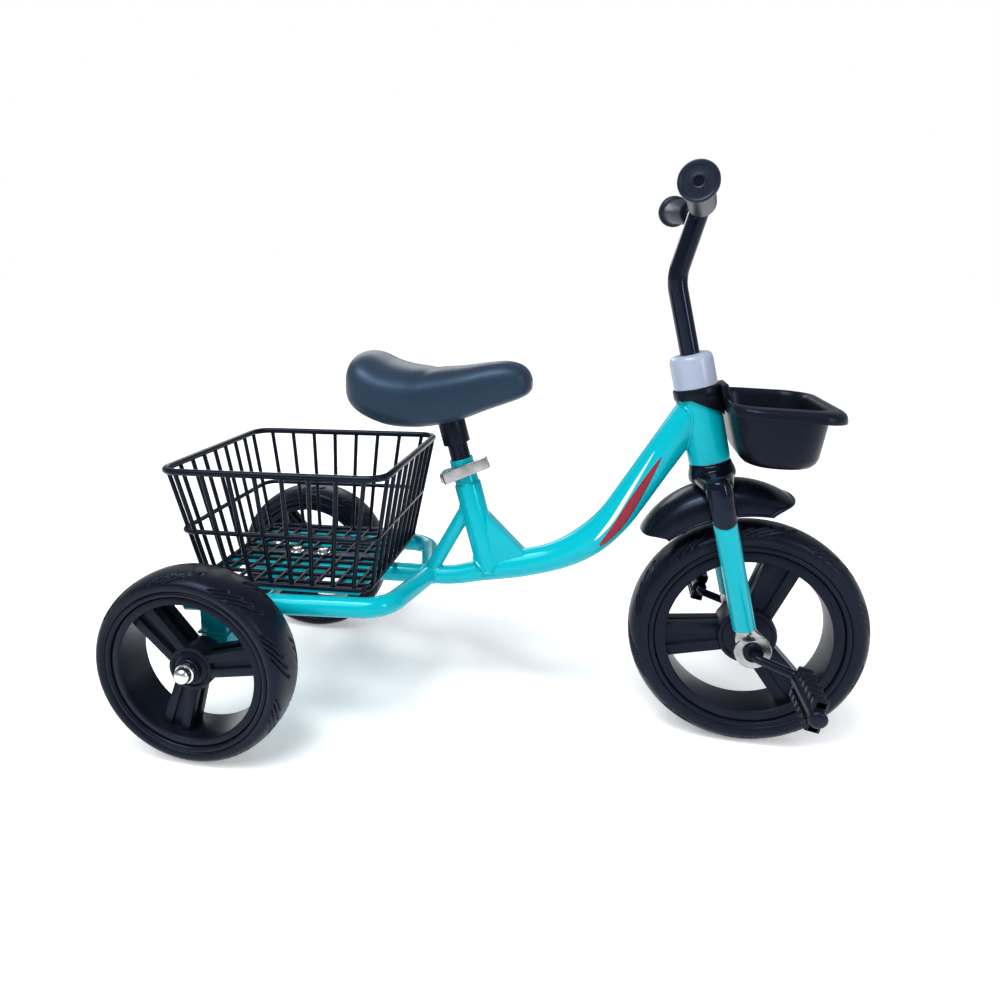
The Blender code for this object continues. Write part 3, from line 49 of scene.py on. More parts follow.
bpy.ops.object.select_all(action="DESELECT")
bpy.ops.mesh.primitive_circle_add(vertices=64, radius=40, fill_type="TRIFAN", location=(0, 0, -0.0004))
floor = bpy.context.object
floor.name = "studio_floor"
paper = bpy.data.materials.new("studio_paper")
paper.use_nodes = True
paper_shader = paper.node_tree.nodes["Principled BSDF"]
paper_shader.inputs["Roughness"].default_value = 0.95
paper_shader.inputs["Specular IOR Level"].default_value = 0.05
paper_place = paper.node_tree.nodes.new("ShaderNodeTexCoord")
paper_grain = paper.node_tree.nodes.new("ShaderNodeTexNoise")
paper_grain.inputs["Scale"].default_value = 3
paper_tint = paper.node_tree.nodes.new("ShaderNodeValToRGB")
paper_tint.color_ramp.elements[0].color = (0.905, 0.905, 0.91, 1)
paper_tint.color_ramp.elements[1].color = (0.925, 0.925, 0.93, 1)
paper.node_tree.links.new(paper_place.outputs["Object"], paper_grain.inputs["Vector"])
paper.node_tree.links.new(paper_grain.outputs["Fac"], paper_tint.inputs["Fac"])
paper.node_tree.links.new(paper_tint.outputs["Color"], paper_shader.inputs["Base Color"])
paper_shader.inputs["Emission Color"].default_value = (1, 1, 1, 1)
paper_shader.inputs["Emission Strength"].default_value = 0.30
floor.data.materials.append(paper)

sky = bpy.data.worlds.new("studio_sky")
bpy.context.scene.world = sky
sky.use_nodes = True
seen = sky.node_tree.nodes["Background"]
seen.inputs["Color"].default_value = (1, 1, 1, 1)
seen.inputs["Strength"].default_value = 1.0
fill = sky.node_tree.nodes.new("ShaderNodeBackground")
fill.inputs["Color"].default_value = (0.86, 0.92, 1.0, 1)
fill.inputs["Strength"].default_value = 0.40
rays = sky.node_tree.nodes.new("ShaderNodeLightPath")
pick = sky.node_tree.nodes.new("ShaderNodeMixShader")
sky.node_tree.links.new(rays.outputs["Is Camera Ray"], pick.inputs["Fac"])
sky.node_tree.links.new(fill.outputs["Background"], pick.inputs[1])
sky.node_tree.links.new(seen.outputs["Background"], pick.inputs[2])
sky.node_tree.links.new(pick.outputs["Shader"], sky.node_tree.nodes["World Output"].inputs["Surface"])

bpy.ops.object.light_add(type="SUN", location=(-1.0, -1.2, 2.4))
key_lamp = bpy.context.object
key_lamp.name = "key_lamp"
key_lamp.data.energy = 1.75
key_lamp.data.angle = math.radians(40)
key_lamp.rotation_euler = (math.radians(30), math.radians(-18), 0)
for lamp_name, place, aim, power, wide, tall in (
    ("overhead_softbox", (-0.3, -0.6, 1.6), (0.0, 0.0, 0.2), 15, 1.0, 0.24),
    ("side_softbox", (1.6, -1.1, 1.0), (0.15, 0.0, 0.2), 9, 0.26, 0.9),
    ("rear_softbox", (-0.8, 1.6, 1.1), (0.0, 0.0, 0.25), 7, 1.2, 0.5),
):
    bpy.ops.object.light_add(type="AREA", location=place)
    lamp = bpy.context.object
    lamp.name = lamp_name
    lamp.data.shape = "RECTANGLE"
    lamp.data.size = wide
    lamp.data.size_y = tall
    lamp.data.energy = power
    lamp.rotation_euler = (Vector(aim) - Vector(place)).to_track_quat("-Z", "Y").to_euler()

bpy.ops.object.camera_add(
    location=(0.1016, -0.7718, 0.4873),
    rotation=(math.radians(77.2325), math.radians(-1.5573), math.radians(9.9333)),
)
camera = bpy.context.object
camera.data.lens = 26.24
camera.data.sensor_width = 36
camera.data.shift_x = 0.0177
camera.data.shift_y = -0.0531
bpy.context.scene.camera = camera
bpy.context.scene.view_settings.view_transform = "Standard"


# ---- Rear tyres: solid foam rubber, moulded with curved grooves over each shoulder and pressed
# on to the rims. The outline is spun round the axle and the grooves are sunk into the tread.

def finish(name, tones, roughness, grain=40, bump=0.0, blotch=6, metallic=0.0, coat=0.0, shine=0.5,
           glint=(1, 1, 1)):
    """A procedural finish: two tones in soft blotches, uneven gloss and a fine surface grain."""
    material = bpy.data.materials.new(name)
    material.use_nodes = True
    nodes, links = material.node_tree.nodes, material.node_tree.links
    shader = nodes["Principled BSDF"]
    shader.inputs["Metallic"].default_value = metallic
    shader.inputs["Specular IOR Level"].default_value = shine
    shader.inputs["Specular Tint"].default_value = (*glint, 1)
    shader.inputs["Coat Weight"].default_value = coat
    shader.inputs["Coat Roughness"].default_value = 0.08
    place = nodes.new("ShaderNodeTexCoord")
    clouds = nodes.new("ShaderNodeTexNoise")
    clouds.inputs["Scale"].default_value = blotch
    clouds.inputs["Detail"].default_value = 4
    tint = nodes.new("ShaderNodeValToRGB")
    tint.color_ramp.elements[0].position = 0.35
    tint.color_ramp.elements[1].position = 0.65
    tint.color_ramp.elements[0].color = (*tones[0], 1)
    tint.color_ramp.elements[1].color = (*tones[1], 1)
    links.new(place.outputs["Object"], clouds.inputs["Vector"])
    links.new(clouds.outputs["Fac"], tint.inputs["Fac"])
    links.new(tint.outputs["Color"], shader.inputs["Base Color"])
    fine = nodes.new("ShaderNodeTexNoise")
    fine.inputs["Scale"].default_value = grain
    fine.inputs["Detail"].default_value = 6
    gloss = nodes.new("ShaderNodeMapRange")
    gloss.inputs["To Min"].default_value = roughness[0]
    gloss.inputs["To Max"].default_value = roughness[1]
    links.new(place.outputs["Object"], fine.inputs["Vector"])
    links.new(fine.outputs["Fac"], gloss.inputs["Value"])
    links.new(gloss.outputs["Result"], shader.inputs["Roughness"])
    if bump:
        relief = nodes.new("ShaderNodeBump")
        relief.inputs["Strength"].default_value = bump
        relief.inputs["Distance"].default_value = 0.0004
        links.new(fine.outputs["Fac"], relief.inputs["Height"])
        links.new(relief.outputs["Normal"], shader.inputs["Normal"])
    return material


def settle(piece, name, material, location=(0, 0, 0), rotation=(0, 0, 0), smooth=35):
    """Places a finished piece, bakes its place into its mesh and gives it its finish."""
    piece.name = name
    piece.location = location
    piece.rotation_euler = rotation
    bpy.ops.object.select_all(action="DESELECT")
    piece.select_set(True)
    bpy.context.view_layer.objects.active = piece
    bpy.ops.object.transform_apply(location=True, rotation=True, scale=True)
    bpy.ops.object.shade_smooth_by_angle(angle=math.radians(smooth))
    piece.data.materials.clear()
    piece.data.materials.append(material)
    return piece


def lathed(outline, steps=96, closed=True):
    """Draws an outline of (radius, height) points and spins it round the Z axis."""
    bpy.ops.object.select_all(action="DESELECT")
    bpy.ops.mesh.primitive_plane_add(size=0.001)
    piece = bpy.context.object
    bpy.ops.object.mode_set(mode="EDIT")
    bpy.ops.mesh.merge(type="CENTER")
    bpy.ops.transform.translate(value=(outline[0][0], 0, outline[0][1]))
    ahead = outline[1:] + (outline[:1] if closed else [])
    for (radius, height), (next_radius, next_height) in zip(outline, ahead):
        step = (next_radius - radius, 0, next_height - height)
        bpy.ops.mesh.extrude_region_move(TRANSFORM_OT_translate={"value": step})
    bpy.ops.mesh.select_all(action="SELECT")
    bpy.ops.mesh.spin(steps=steps, angle=2 * math.pi, center=(0, 0, 0), axis=(0, 0, 1))
    bpy.ops.mesh.select_all(action="SELECT")
    bpy.ops.mesh.remove_doubles(threshold=0.00001)
    bpy.ops.mesh.normals_make_consistent(inside=False)
    bpy.ops.object.mode_set(mode="OBJECT")
    return piece


NAVY_SHEEN = (0.52, 0.66, 1.0)
foam = finish(
    "foam_rubber", ((0.0032, 0.0036, 0.0072), (0.0058, 0.0064, 0.0115)), (0.28, 0.42), grain=260,
    bump=0.22, blotch=9,
    shine=0.19, glint=NAVY_SHEEN,
)
SIDES = {"left": 1, "right": -1}


def middle(node):
    """The middle of a node's box at rest."""
    low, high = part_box(node)
    return (Vector(low) + Vector(high)) / 2


REAR_AXLE = middle("rear_axle")
ON_AXLE = (math.radians(-90), 0, 0)


def tyre_outline(radius, half, drop, lip):
    """Half by half: the bead on the rim, a groove, the sidewall and the round crown."""
    shoulder = radius - drop
    side = [
        (lip + 0.0004, half - 0.0060), (lip + 0.0004, half - 0.0026), (lip + 0.0014, half - 0.0012),
        (lip + 0.0034, half - 0.0006), (lip + 0.0050, half - 0.0010), (lip + 0.0058, half - 0.0022),
        (lip + 0.0066, half - 0.0012), (lip + 0.0080, half - 0.0001),
    ]
    crown = []
    for i in range(25):
        turn = math.radians(90 - i * 90 / 24)
        reach = max(0.0, math.sin(math.radians(90) - turn))
        crown.append((shoulder + drop * reach ** 0.92, half * math.sin(turn) ** 0.92 if turn > 0 else 0.0))
    upper = side + crown
    return upper + [(r, -y) for r, y in reversed(upper[:-1])]


GROOVES = (  # lead round the tyre, where across the tread each starts and stops, and its width
    (0.00, 0.22, 0.95, 0.034), (0.13, 0.34, 0.97, 0.034), (0.26, 0.46, 0.96, 0.032),
    (0.38, 0.60, 0.93, 0.028),
)


REAR_SIZE = (0.1024, 0.0260, 0.0102)  # radius, half width, and how far the shoulder drops


def sink_tread(piece, radius, half, drop, repeats):
    """Sinks sets of curved grooves, long and short, into each shoulder of the tyre, turn about."""
    shoulder = radius - drop
    for vertex in piece.data.vertices:
        x, y, z = vertex.co
        reach = math.hypot(x, y)
        if reach < shoulder + 0.0005:
            continue
        side = 1 if z > 0 else -1
        across = abs(z) / half
        turn = math.atan2(y, x) / (2 * math.pi) * repeats + (0.5 if side > 0 else 0.0)
        turn *= side
        deep = 0.0
        for lead, start, stop, wide in GROOVES:
            curve = lead + 0.62 * (across - 0.10) ** 2
            off = (turn - curve) % 1.0
            off = min(off, 1.0 - off) / wide
            ends = min(1.0, max(0.0, (across - start) / 0.10)) * min(1.0, max(0.0, (stop - across) / 0.07))
            if off < 1:
                deep = max(deep, (1 - off ** 4) * min(1.0, 2 * ends))
        shrink = 1 - 0.0032 * deep / reach
        vertex.co = (x * shrink, y * shrink, z * (1 - 0.030 * deep))


for side_name in SIDES:
    tyre = lathed(tyre_outline(*REAR_SIZE, 0.0806), steps=720)
    sink_tread(tyre, *REAR_SIZE, 9)
    settle(tyre, f"foam_tyre_rear_{side_name}", foam, middle(f"rear_tyre_{side_name}"), ON_AXLE, smooth=60)
    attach(tyre, f"rear_wheel_{side_name}")
    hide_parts(f"rear_tyre_{side_name}")


# ---- Rear rims: black moulded plastic in one piece. Three broad spokes, each with a raised rib
# along either edge, tie a deep outer band to a dished hub.

moulded = finish(
    "black_moulding", ((0.0030, 0.0034, 0.0066), (0.0052, 0.0058, 0.0102)), (0.26, 0.40), grain=420,
    bump=0.10,
    blotch=14, shine=0.18, glint=NAVY_SHEEN,
)


def spoke(inner, outer, width, thick, angle):
    """A spoke from a cube: its two faces are inset and pressed in, which leaves the ribs."""
    bpy.ops.object.select_all(action="DESELECT")
    bpy.ops.mesh.primitive_cube_add(size=1, location=((inner + outer) / 2, 0, 0))
    arm = bpy.context.object
    arm.scale = (outer - inner, width, thick)
    bpy.ops.object.transform_apply(location=True, rotation=True, scale=True)
    bpy.ops.object.mode_set(mode="EDIT")
    bpy.ops.mesh.select_all(action="DESELECT")
    bpy.ops.object.mode_set(mode="OBJECT")
    for vertex in arm.data.vertices:
        if vertex.co.x < (inner + outer) / 2:
            vertex.co.y *= 0.80
    for face in arm.data.polygons:
        face.select = abs(face.normal.z) > 0.9
    bpy.ops.object.mode_set(mode="EDIT")
    bpy.ops.mesh.inset(thickness=width * 0.30, use_individual=True)
    bpy.ops.mesh.extrude_region_shrink_fatten(TRANSFORM_OT_shrink_fatten={"value": -thick * 0.16})
    bpy.ops.object.mode_set(mode="OBJECT")
    for vertex in arm.data.vertices:
        if abs(vertex.co.z) < thick / 2 - 0.0001 or abs(vertex.co.y) < width * 0.25:
            vertex.co.x = outer - 0.001 if vertex.co.x > (inner + outer) / 2 else inner + 0.004
    soften(arm, 0.0016, 3)
    bpy.ops.object.select_all(action="DESELECT")
    arm.select_set(True)
    arm.rotation_euler = (0, 0, angle)
    bpy.ops.object.transform_apply(location=True, rotation=True, scale=True)
    return arm


def soften(piece, width, segments=2):
    """Rounds a piece's sharp edges."""
    bpy.context.view_layer.objects.active = piece
    edge = piece.modifiers.new("round_edges", "BEVEL")
    edge.width = width
    edge.segments = segments
    edge.limit_method = "ANGLE"
    edge.angle_limit = math.radians(40)
    bpy.ops.object.modifier_apply(modifier="round_edges")


def joined(*pieces):
    """Joins pieces into the first."""
    bpy.ops.object.select_all(action="DESELECT")
    for piece in pieces:
        piece.select_set(True)
    bpy.context.view_layer.objects.active = pieces[0]
    bpy.ops.object.join()
    return pieces[0]


def spoked_rim(lip, inner, half, hub, hub_half, boss, width, thick, first):
    """The band with its rolled lips, the spokes and the stepped hub."""
    band = [
        (inner, -half + 0.0060), (inner + 0.0006, -half + 0.0015), (inner + 0.0022, -half + 0.0002),
        (lip - 0.0030, -half), (lip - 0.0008, -half + 0.0008), (lip, -half + 0.0026),
        (lip, half - 0.0026), (lip - 0.0008, half - 0.0008), (lip - 0.0030, half),
        (inner + 0.0022, half - 0.0002), (inner + 0.0006, half - 0.0015), (inner, half - 0.0060),
        (inner - 0.0012, 0),
    ]
    hub_side = [
        (0.0052, hub_half), (boss - 0.0008, hub_half), (boss, hub_half - 0.0010),
        (boss, hub_half - 0.0052), (boss + 0.0022, hub_half - 0.0058),
        (hub - 0.0060, hub_half - 0.0072), (hub - 0.0042, hub_half - 0.0056),
        (hub - 0.0012, hub_half - 0.0060), (hub, hub_half - 0.0085),
    ]
    hub_outline = hub_side + [(r, -h) for r, h in reversed(hub_side)]
    pieces = [lathed(band, 144), lathed(hub_outline, 96)]
    for i in range(3):
        pieces.append(spoke(hub * 0.72, inner + 0.002, width, thick, first + i * math.radians(120)))
    return joined(*pieces)


for side_name in SIDES:
    rim = spoked_rim(0.0806, 0.0715, 0.0232, 0.0238, 0.0198, 0.0130, 0.030, 0.027, math.radians(-13))
    settle(rim, f"spoked_rim_rear_{side_name}", moulded, middle(f"rear_rim_{side_name}"), ON_AXLE)
    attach(rim, f"rear_wheel_{side_name}")
    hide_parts(f"rear_rim_{side_name}")


# ---- Rear axle: a straight plated rod through both brackets, with a plain spacer inside each
# wheel and a domed nut, turned from bar with a flange, outside it.

chrome = finish(
    "chrome_plate", ((0.62, 0.62, 0.63), (0.78, 0.78, 0.79)), (0.12, 0.24), grain=120, bump=0.05,
    metallic=1.0
)
zinc = finish(
    "zinc_plate", ((0.42, 0.42, 0.44), (0.55, 0.55, 0.56)), (0.28, 0.42), grain=160, bump=0.10, metallic=1.0
)
for side_name, side in SIDES.items():
    dome = [
        (0.0054, 0), (0.0101, 0), (0.0105, 0.0005), (0.0105, 0.0034), (0.0100, 0.0043),
        (0.0088, 0.0048), (0.0086, 0.0082), (0.0076, 0.0108), (0.0056, 0.0126), (0.0030, 0.0133),
        (0.0001, 0.0135), (0.0001, 0.0100), (0.0054, 0.0090),
    ]
    nut = lathed(dome, 48)
    lean = math.radians(-90) if side > 0 else math.radians(90)
    foot = (REAR_AXLE.x, side * (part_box("axle_nut_left")[0][1] + 0.0001), REAR_AXLE.z)
    settle(nut, f"domed_nut_{side_name}", chrome, foot, (lean, 0, 0))
    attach(nut, "chassis")
    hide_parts(f"axle_nut_{side_name}")
    parts[f"rear_spacer_{side_name}"].data.materials[0] = chrome
parts["rear_axle"].data.materials[0] = zinc


# ---- Frame: steel tubes bent, coped and welded, then powder coated. The main tube falls from the
# head tube, sweeps level and thins to the rear beam; beads of weld show at every joint.

teal = finish(
    "teal_powder_coat", ((0.000, 0.352, 0.425), (0.000, 0.398, 0.478)), (0.13, 0.22), grain=60, bump=0.03,
    blotch=5,
    shine=0.50, glint=(0.30, 0.95, 1.0),
)
SEAT_FOOT = Vector((-0.0158, 0, 0.1687))
SEAT_TURN = (0, math.radians(-16), 0)
STEER_FOOT = Vector((0.26304, 0, 0.12396))
STEER_TURN = (0, math.radians(-15), 0)
RACK = Vector((-0.2000, 0, 0.15138))
RACK_TURN = (0, math.radians(-2), 0)
SEAT_RADIUS, STRUT_RADIUS, STAY_RADIUS = 0.0149, 0.0082, 0.0108


def placed(origin, turn):
    return Matrix.Translation(origin) @ Matrix.Rotation(turn[1], 4, "Y")


def bent(corners, bends, steps=10):
    """The corners of a bent tube's centre line, each inner one rounded to its bend radius."""
    points = [Vector(corners[0])]
    for before, corner, after, bend in zip(corners, corners[1:], corners[2:], bends):
        back = (Vector(before) - Vector(corner)).normalized()
        ahead = (Vector(after) - Vector(corner)).normalized()
        half = back.angle(ahead) / 2
        centre = Vector(corner) + (back + ahead).normalized() * bend / math.sin(half)
        start = (Vector(corner) + back * bend / math.tan(half) - centre).normalized()
        stop = (Vector(corner) + ahead * bend / math.tan(half) - centre).normalized()
        points += [centre + start.slerp(stop, i / steps) * bend for i in range(steps + 1)]
    return points + [Vector(corners[-1])]


def tube(points, radius, sides=32, ring=False):
    """A round bar along the points; the radius may change from point to point."""
    bpy.ops.object.select_all(action="DESELECT")
    bpy.ops.curve.primitive_nurbs_path_add()
    piece = bpy.context.object
    piece.data.splines.clear()
    line = piece.data.splines.new("POLY")
    line.points.add(len(points) - 1)
    for i, point in enumerate(points):
        line.points[i].co = (*point, 1)
        line.points[i].radius = radius[i] if isinstance(radius, list) else radius
    line.use_cyclic_u = ring
    piece.data.bevel_depth = 1
    piece.data.bevel_resolution = sides // 2 - 2
    piece.data.use_fill_caps = not ring
    bpy.ops.object.convert(target="MESH")
    piece = bpy.context.object
    bpy.ops.object.mode_set(mode="EDIT")
    bpy.ops.mesh.select_all(action="SELECT")
    bpy.ops.mesh.remove_doubles(threshold=0.000002)
    bpy.ops.mesh.normals_make_consistent(inside=False)
    bpy.ops.object.mode_set(mode="OBJECT")
    return piece


def weld(branch, along, reach, host, host_along, host_reach, bead=0.0017, sunk=0.0004):
    """A bead of weld where a branch tube first meets the side of its host."""
    along, host_along = along.normalized(), host_along.normalized()
    a = along.orthogonal().normalized()
    b = along.cross(a)
    points, sizes = [], []
    for i in range(56):
        turn = 2 * math.pi * i / 56
        start = branch + (a * math.cos(turn) + b * math.sin(turn)) * reach
        gap = start - host
        gap -= host_along * gap.dot(host_along)
        step = along - host_along * along.dot(host_along)
        k2, k1, k0 = step.dot(step), gap.dot(step), gap.dot(gap) - (host_reach - sunk) ** 2
        inside = max(k1 * k1 - k2 * k0, 0)
        points.append(start + along * ((-k1 - math.sqrt(inside)) / k2))
        sizes.append(bead * (1 + 0.14 * math.sin(turn * 17) + 0.06 * math.sin(turn * 5 + 1)))
    return tube(points, sizes, sides=10, ring=True)


def block(low, high, edge=0.0, segments=3, lean=None):
    """A cube drawn out between two corners, its edges rounded, then leaned if it must be."""
    bpy.ops.object.select_all(action="DESELECT")
    bpy.ops.mesh.primitive_cube_add(size=1, location=[(a + b) / 2 for a, b in zip(low, high)])
    piece = bpy.context.object
    piece.scale = [abs(b - a) for a, b in zip(low, high)]
    bpy.ops.object.transform_apply(location=True, rotation=True, scale=True)
    if edge:
        soften(piece, edge, segments)
    if lean:
        piece.data.transform(lean)
    return piece


head_axis = placed(STEER_FOOT, STEER_TURN)
seat_axis = placed(SEAT_FOOT, SEAT_TURN)
main_way = Vector((math.cos(math.radians(59.5)), 0, math.sin(math.radians(59.5))))
meeting = head_axis @ Vector((0, 0, 0.256))
main_corners = [
    meeting - main_way * 0.0085, (0.0964, 0, 0.2009), (-0.0592, 0, 0.1563), (-0.3098, 0, 0.14755)
]
main_line = bent(main_corners, (0.150, 0.120), 16)
fine_line = []
for here, there in zip(main_line, main_line[1:]):
    pieces_of = max(1, round((there - here).length / 0.008))
    fine_line += [here.lerp(there, i / pieces_of) for i in range(pieces_of)]
fine_line.append(main_line[-1])
stations = ((-0.0592, 0.0108), (-0.0292, 0.0120), (0.0142, 0.0156), (0.0514, 0.0156), (0.0964, 0.0180))
main_radius = []
for point in fine_line:
    size = stations[0][1] if point.x < stations[0][0] else stations[-1][1]
    for (x0, r0), (x1, r1) in zip(stations, stations[1:]):
        if x0 <= point.x < x1:
            share = (point.x - x0) / (x1 - x0)
            size = r0 + (r1 - r0) * share
    main_radius.append(size)
tubes = [tube(fine_line, main_radius, 40)]
beads = [weld(
    meeting - main_way * 0.10, main_way, 0.0180, STEER_FOOT, head_axis.to_3x3() @ Vector((0, 0, 1)), 0.0213
)]

head = lathed(
    [(0.0186, 0.1946), (0.0208, 0.1945), (0.0213, 0.1951), (0.0213, 0.2626), (0.0208, 0.2632),
     (0.0186, 0.2631)], 72
)
tubes.append(settle(head, "head_tube", teal, STEER_FOOT, STEER_TURN))
seat_outline = [
    (0.0114, 0.026), (0.0114, 0.1318), (0.0118, 0.1322), (0.0128, 0.1322), (0.0132, 0.1317),
    (0.0132, 0.1052), (0.0135, 0.1043), (0.0146, 0.1031), (0.0149, 0.1018), (0.0149, -0.004),
    (0.0001, -0.004), (0.0001, 0.026),
]
seat_tube = settle(lathed(seat_outline, 72), "seat_tube", teal)
for side in (1, -1):
    inner, outer = sorted((side * 0.00105, side * 0.00545))
    seat_tube = joined(seat_tube, block((-0.0247, inner, 0.11025), (-0.0117, outer, 0.12275), 0.0016))
slot = block((-0.0260, -0.0010, 0.1055), (-0.0060, 0.0010, 0.1345))
bpy.context.view_layer.objects.active = seat_tube
saw = seat_tube.modifiers.new("saw_slot", "BOOLEAN")
saw.operation = "DIFFERENCE"
saw.solver = "EXACT"
saw.use_self = True
saw.object = slot
bpy.ops.object.modifier_apply(modifier="saw_slot")
bpy.data.objects.remove(slot, do_unlink=True)
tubes.append(settle(seat_tube, "seat_tube", teal, SEAT_FOOT, SEAT_TURN))
seat_up = seat_axis.to_3x3() @ Vector((0, 0, 1))
level = Vector((math.cos(math.radians(5)), 0, math.sin(math.radians(5))))
beads.append(weld(
    seat_axis @ Vector((0, 0, 0.08)), -seat_up, SEAT_RADIUS, Vector((-0.0158, 0, 0.1687)), level, 0.0148
))

strut_foot, strut_top = Vector((-0.0872, 0, 0.1553)), seat_axis @ Vector((0, 0, 0.0830))
tubes.append(tube([strut_foot, strut_top], STRUT_RADIUS, 28))
strut_way = strut_top - strut_foot
beads.append(weld(strut_foot, strut_way, STRUT_RADIUS, SEAT_FOOT, seat_up, SEAT_RADIUS, 0.0014))
beads.append(weld(
    strut_top, -strut_way, STRUT_RADIUS, Vector((-0.1, 0, 0.1548)), Vector((1, 0, 0.035)), 0.0108, 0.0014
))

rack_axis = placed(RACK, RACK_TURN)
stay_corners = [
    (-0.125, -0.111, 0), (0.090, -0.100, 0), (0.114, 0, 0), (0.090, 0.100, 0), (-0.125, 0.111, 0)
]
stay_line = [rack_axis @ point for point in bent(stay_corners, (0.034, 0.034, 0.034), 14)]
tubes.append(tube(stay_line, STAY_RADIUS, 32))
for side in (1, -1):
    cross_way = rack_axis.to_3x3() @ Vector((0.024, -side * 0.100, 0))
    start = rack_axis @ Vector((0.1045, side * 0.040, 0))
    beads.append(weld(
        start, cross_way, STAY_RADIUS, rack_axis @ Vector((0.1, 0, 0)), Vector((1, 0, 0.035)), 0.0106, 0.0014
    ))

bpy.ops.object.select_all(action="DESELECT")
bpy.ops.mesh.primitive_plane_add(size=1)
gusset = bpy.context.object
web_outline = [
    seat_axis @ Vector((0.0129, -0.0112, 0.0660)), seat_axis @ Vector((0.0020, -0.0112, 0.0100)),
    Vector((0.0160, -0.0112, 0.1750)), Vector((0.0262, -0.0112, 0.1905)),
]
for vertex, corner in zip((0, 1, 3, 2), web_outline):
    gusset.data.vertices[vertex].co = corner
bpy.ops.object.mode_set(mode="EDIT")
bpy.ops.mesh.select_all(action="SELECT")
bpy.ops.mesh.extrude_region_move(TRANSFORM_OT_translate={"value": (0, 0.0224, 0)})
bpy.ops.mesh.select_all(action="SELECT")
bpy.ops.mesh.normals_make_consistent(inside=False)
bpy.ops.object.mode_set(mode="OBJECT")
soften(gusset, 0.0022, 4)
tubes.append(gusset)

for side in (1, -1):
    for low, high, edge in (
        ((-0.3045, 0.0980, 0.0884), (-0.2745, 0.1240, 0.1480), 0.0030),
        ((-0.3075, 0.0975, 0.1164), (-0.2715, 0.1246, 0.1194), 0.0011),
    ):
        ends = sorted((side * low[1], side * high[1]))
        tubes.append(block((low[0], ends[0], low[2]), (high[0], ends[1], high[2]), edge, 4))

weldment = settle(joined(*tubes, *beads), "welded_frame", teal)
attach(weldment, "chassis")
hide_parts("frame")


# ---- Stripe: a printed film on the right side of the main tube below the head, a red wedge that
# tapers at both ends under a thin pale streak. Each strip is drawn to follow the tube.

def skinned(rows, ring=True, caps=True):
    """A skin drawn over rows of points from a grid; rows may close on themselves and be capped."""
    wide = len(rows[0]) + (1 if ring else 0)
    bpy.ops.object.select_all(action="DESELECT")
    bpy.ops.mesh.primitive_grid_add(x_subdivisions=wide - 1, y_subdivisions=len(rows) - 1)
    piece = bpy.context.object
    for j, row in enumerate(rows):
        for i in range(wide):
            piece.data.vertices[j * wide + i].co = row[i % len(row)]
    bpy.ops.object.mode_set(mode="EDIT")
    bpy.ops.mesh.select_all(action="SELECT")
    bpy.ops.mesh.remove_doubles(threshold=0.000005)
    if caps:
        bpy.ops.mesh.fill_holes(sides=0)
    bpy.ops.mesh.normals_make_consistent(inside=False)
    bpy.ops.object.mode_set(mode="OBJECT")
    return piece


film = finish(
    "pale_film", ((0.56, 0.62, 0.66), (0.66, 0.72, 0.76)), (0.22, 0.34), grain=60, bump=0.02, shine=0.3
)
ink_red = finish(
    "red_film", ((0.20, 0.003, 0.016), (0.27, 0.006, 0.024)), (0.22, 0.34), grain=60, bump=0.02, shine=0.3
)
for strip_name, low_end, high_end, ink in (("red", -30, 6, ink_red), ("pale", 10, 24, film)):
    rows = []
    for point, reach, ahead in zip(fine_line, main_radius, fine_line[1:]):
        share = (point.x - 0.098) / 0.066
        if not -0.02 < share < 1.02:
            continue
        share = min(1.0, max(0.0, share))
        way = (ahead - point).normalized()
        up = Vector((-way.z, 0, way.x))
        up = up if up.z > 0 else -up
        spread = 0.04 + 0.96 * math.sin(math.pi * share ** 0.8) ** 0.8
        row = []
        for i in range(9):
            lean = (
                (low_end + high_end) / 2 + 34 * (share - 0.5)
                + (high_end - low_end) * spread * (i / 8 - 0.5)
            )
            turn = math.radians(lean)
            row.append(
                point + (Vector((0, -1, 0)) * math.cos(turn) + up * math.sin(turn)) * (reach + 0.00018)
            )
        rows.append(row)
    strip = settle(skinned(rows, ring=False, caps=False), f"tube_film_{strip_name}", ink)
    bpy.context.view_layer.objects.active = strip
    wall = strip.modifiers.new("film", "SOLIDIFY")
    wall.thickness = 0.0003
    wall.offset = 0
    bpy.ops.object.modifier_apply(modifier="film")
    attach(strip, "chassis")


# ---- Deck: a pressed steel plate on the stays, painted with the frame, with four windows. It is
# taken from the plate's own solid, with its sheared edges rounded.

def recast(node, name, body, material, edge=0.0006, segments=2, smooth=35):
    """A copy of a plain CAD solid with its flats made whole and its edges rounded."""
    bpy.ops.object.select_all(action="DESELECT")
    bpy.ops.mesh.primitive_cube_add(size=0.01)
    piece = bpy.context.object
    piece.data = parts[node].data.copy()
    bpy.ops.object.mode_set(mode="EDIT")
    bpy.ops.mesh.select_all(action="SELECT")
    bpy.ops.mesh.remove_doubles(threshold=0.00001)
    bpy.ops.mesh.dissolve_limited(angle_limit=math.radians(1))
    bpy.ops.mesh.normals_make_consistent(inside=False)
    bpy.ops.object.mode_set(mode="OBJECT")
    soften(piece, edge, segments)
    settle(piece, name, material, smooth=smooth)
    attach(piece, body)
    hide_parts(node)
    return piece


recast("rear_deck", "pressed_deck", "chassis", teal, edge=0.0007)


# ---- Rear basket: plastic-dipped steel wire. Bent wires cross the floor and rise to a thick rim;
# a middle ring ties them, and a flat strip along the floor takes two bolts with washers.

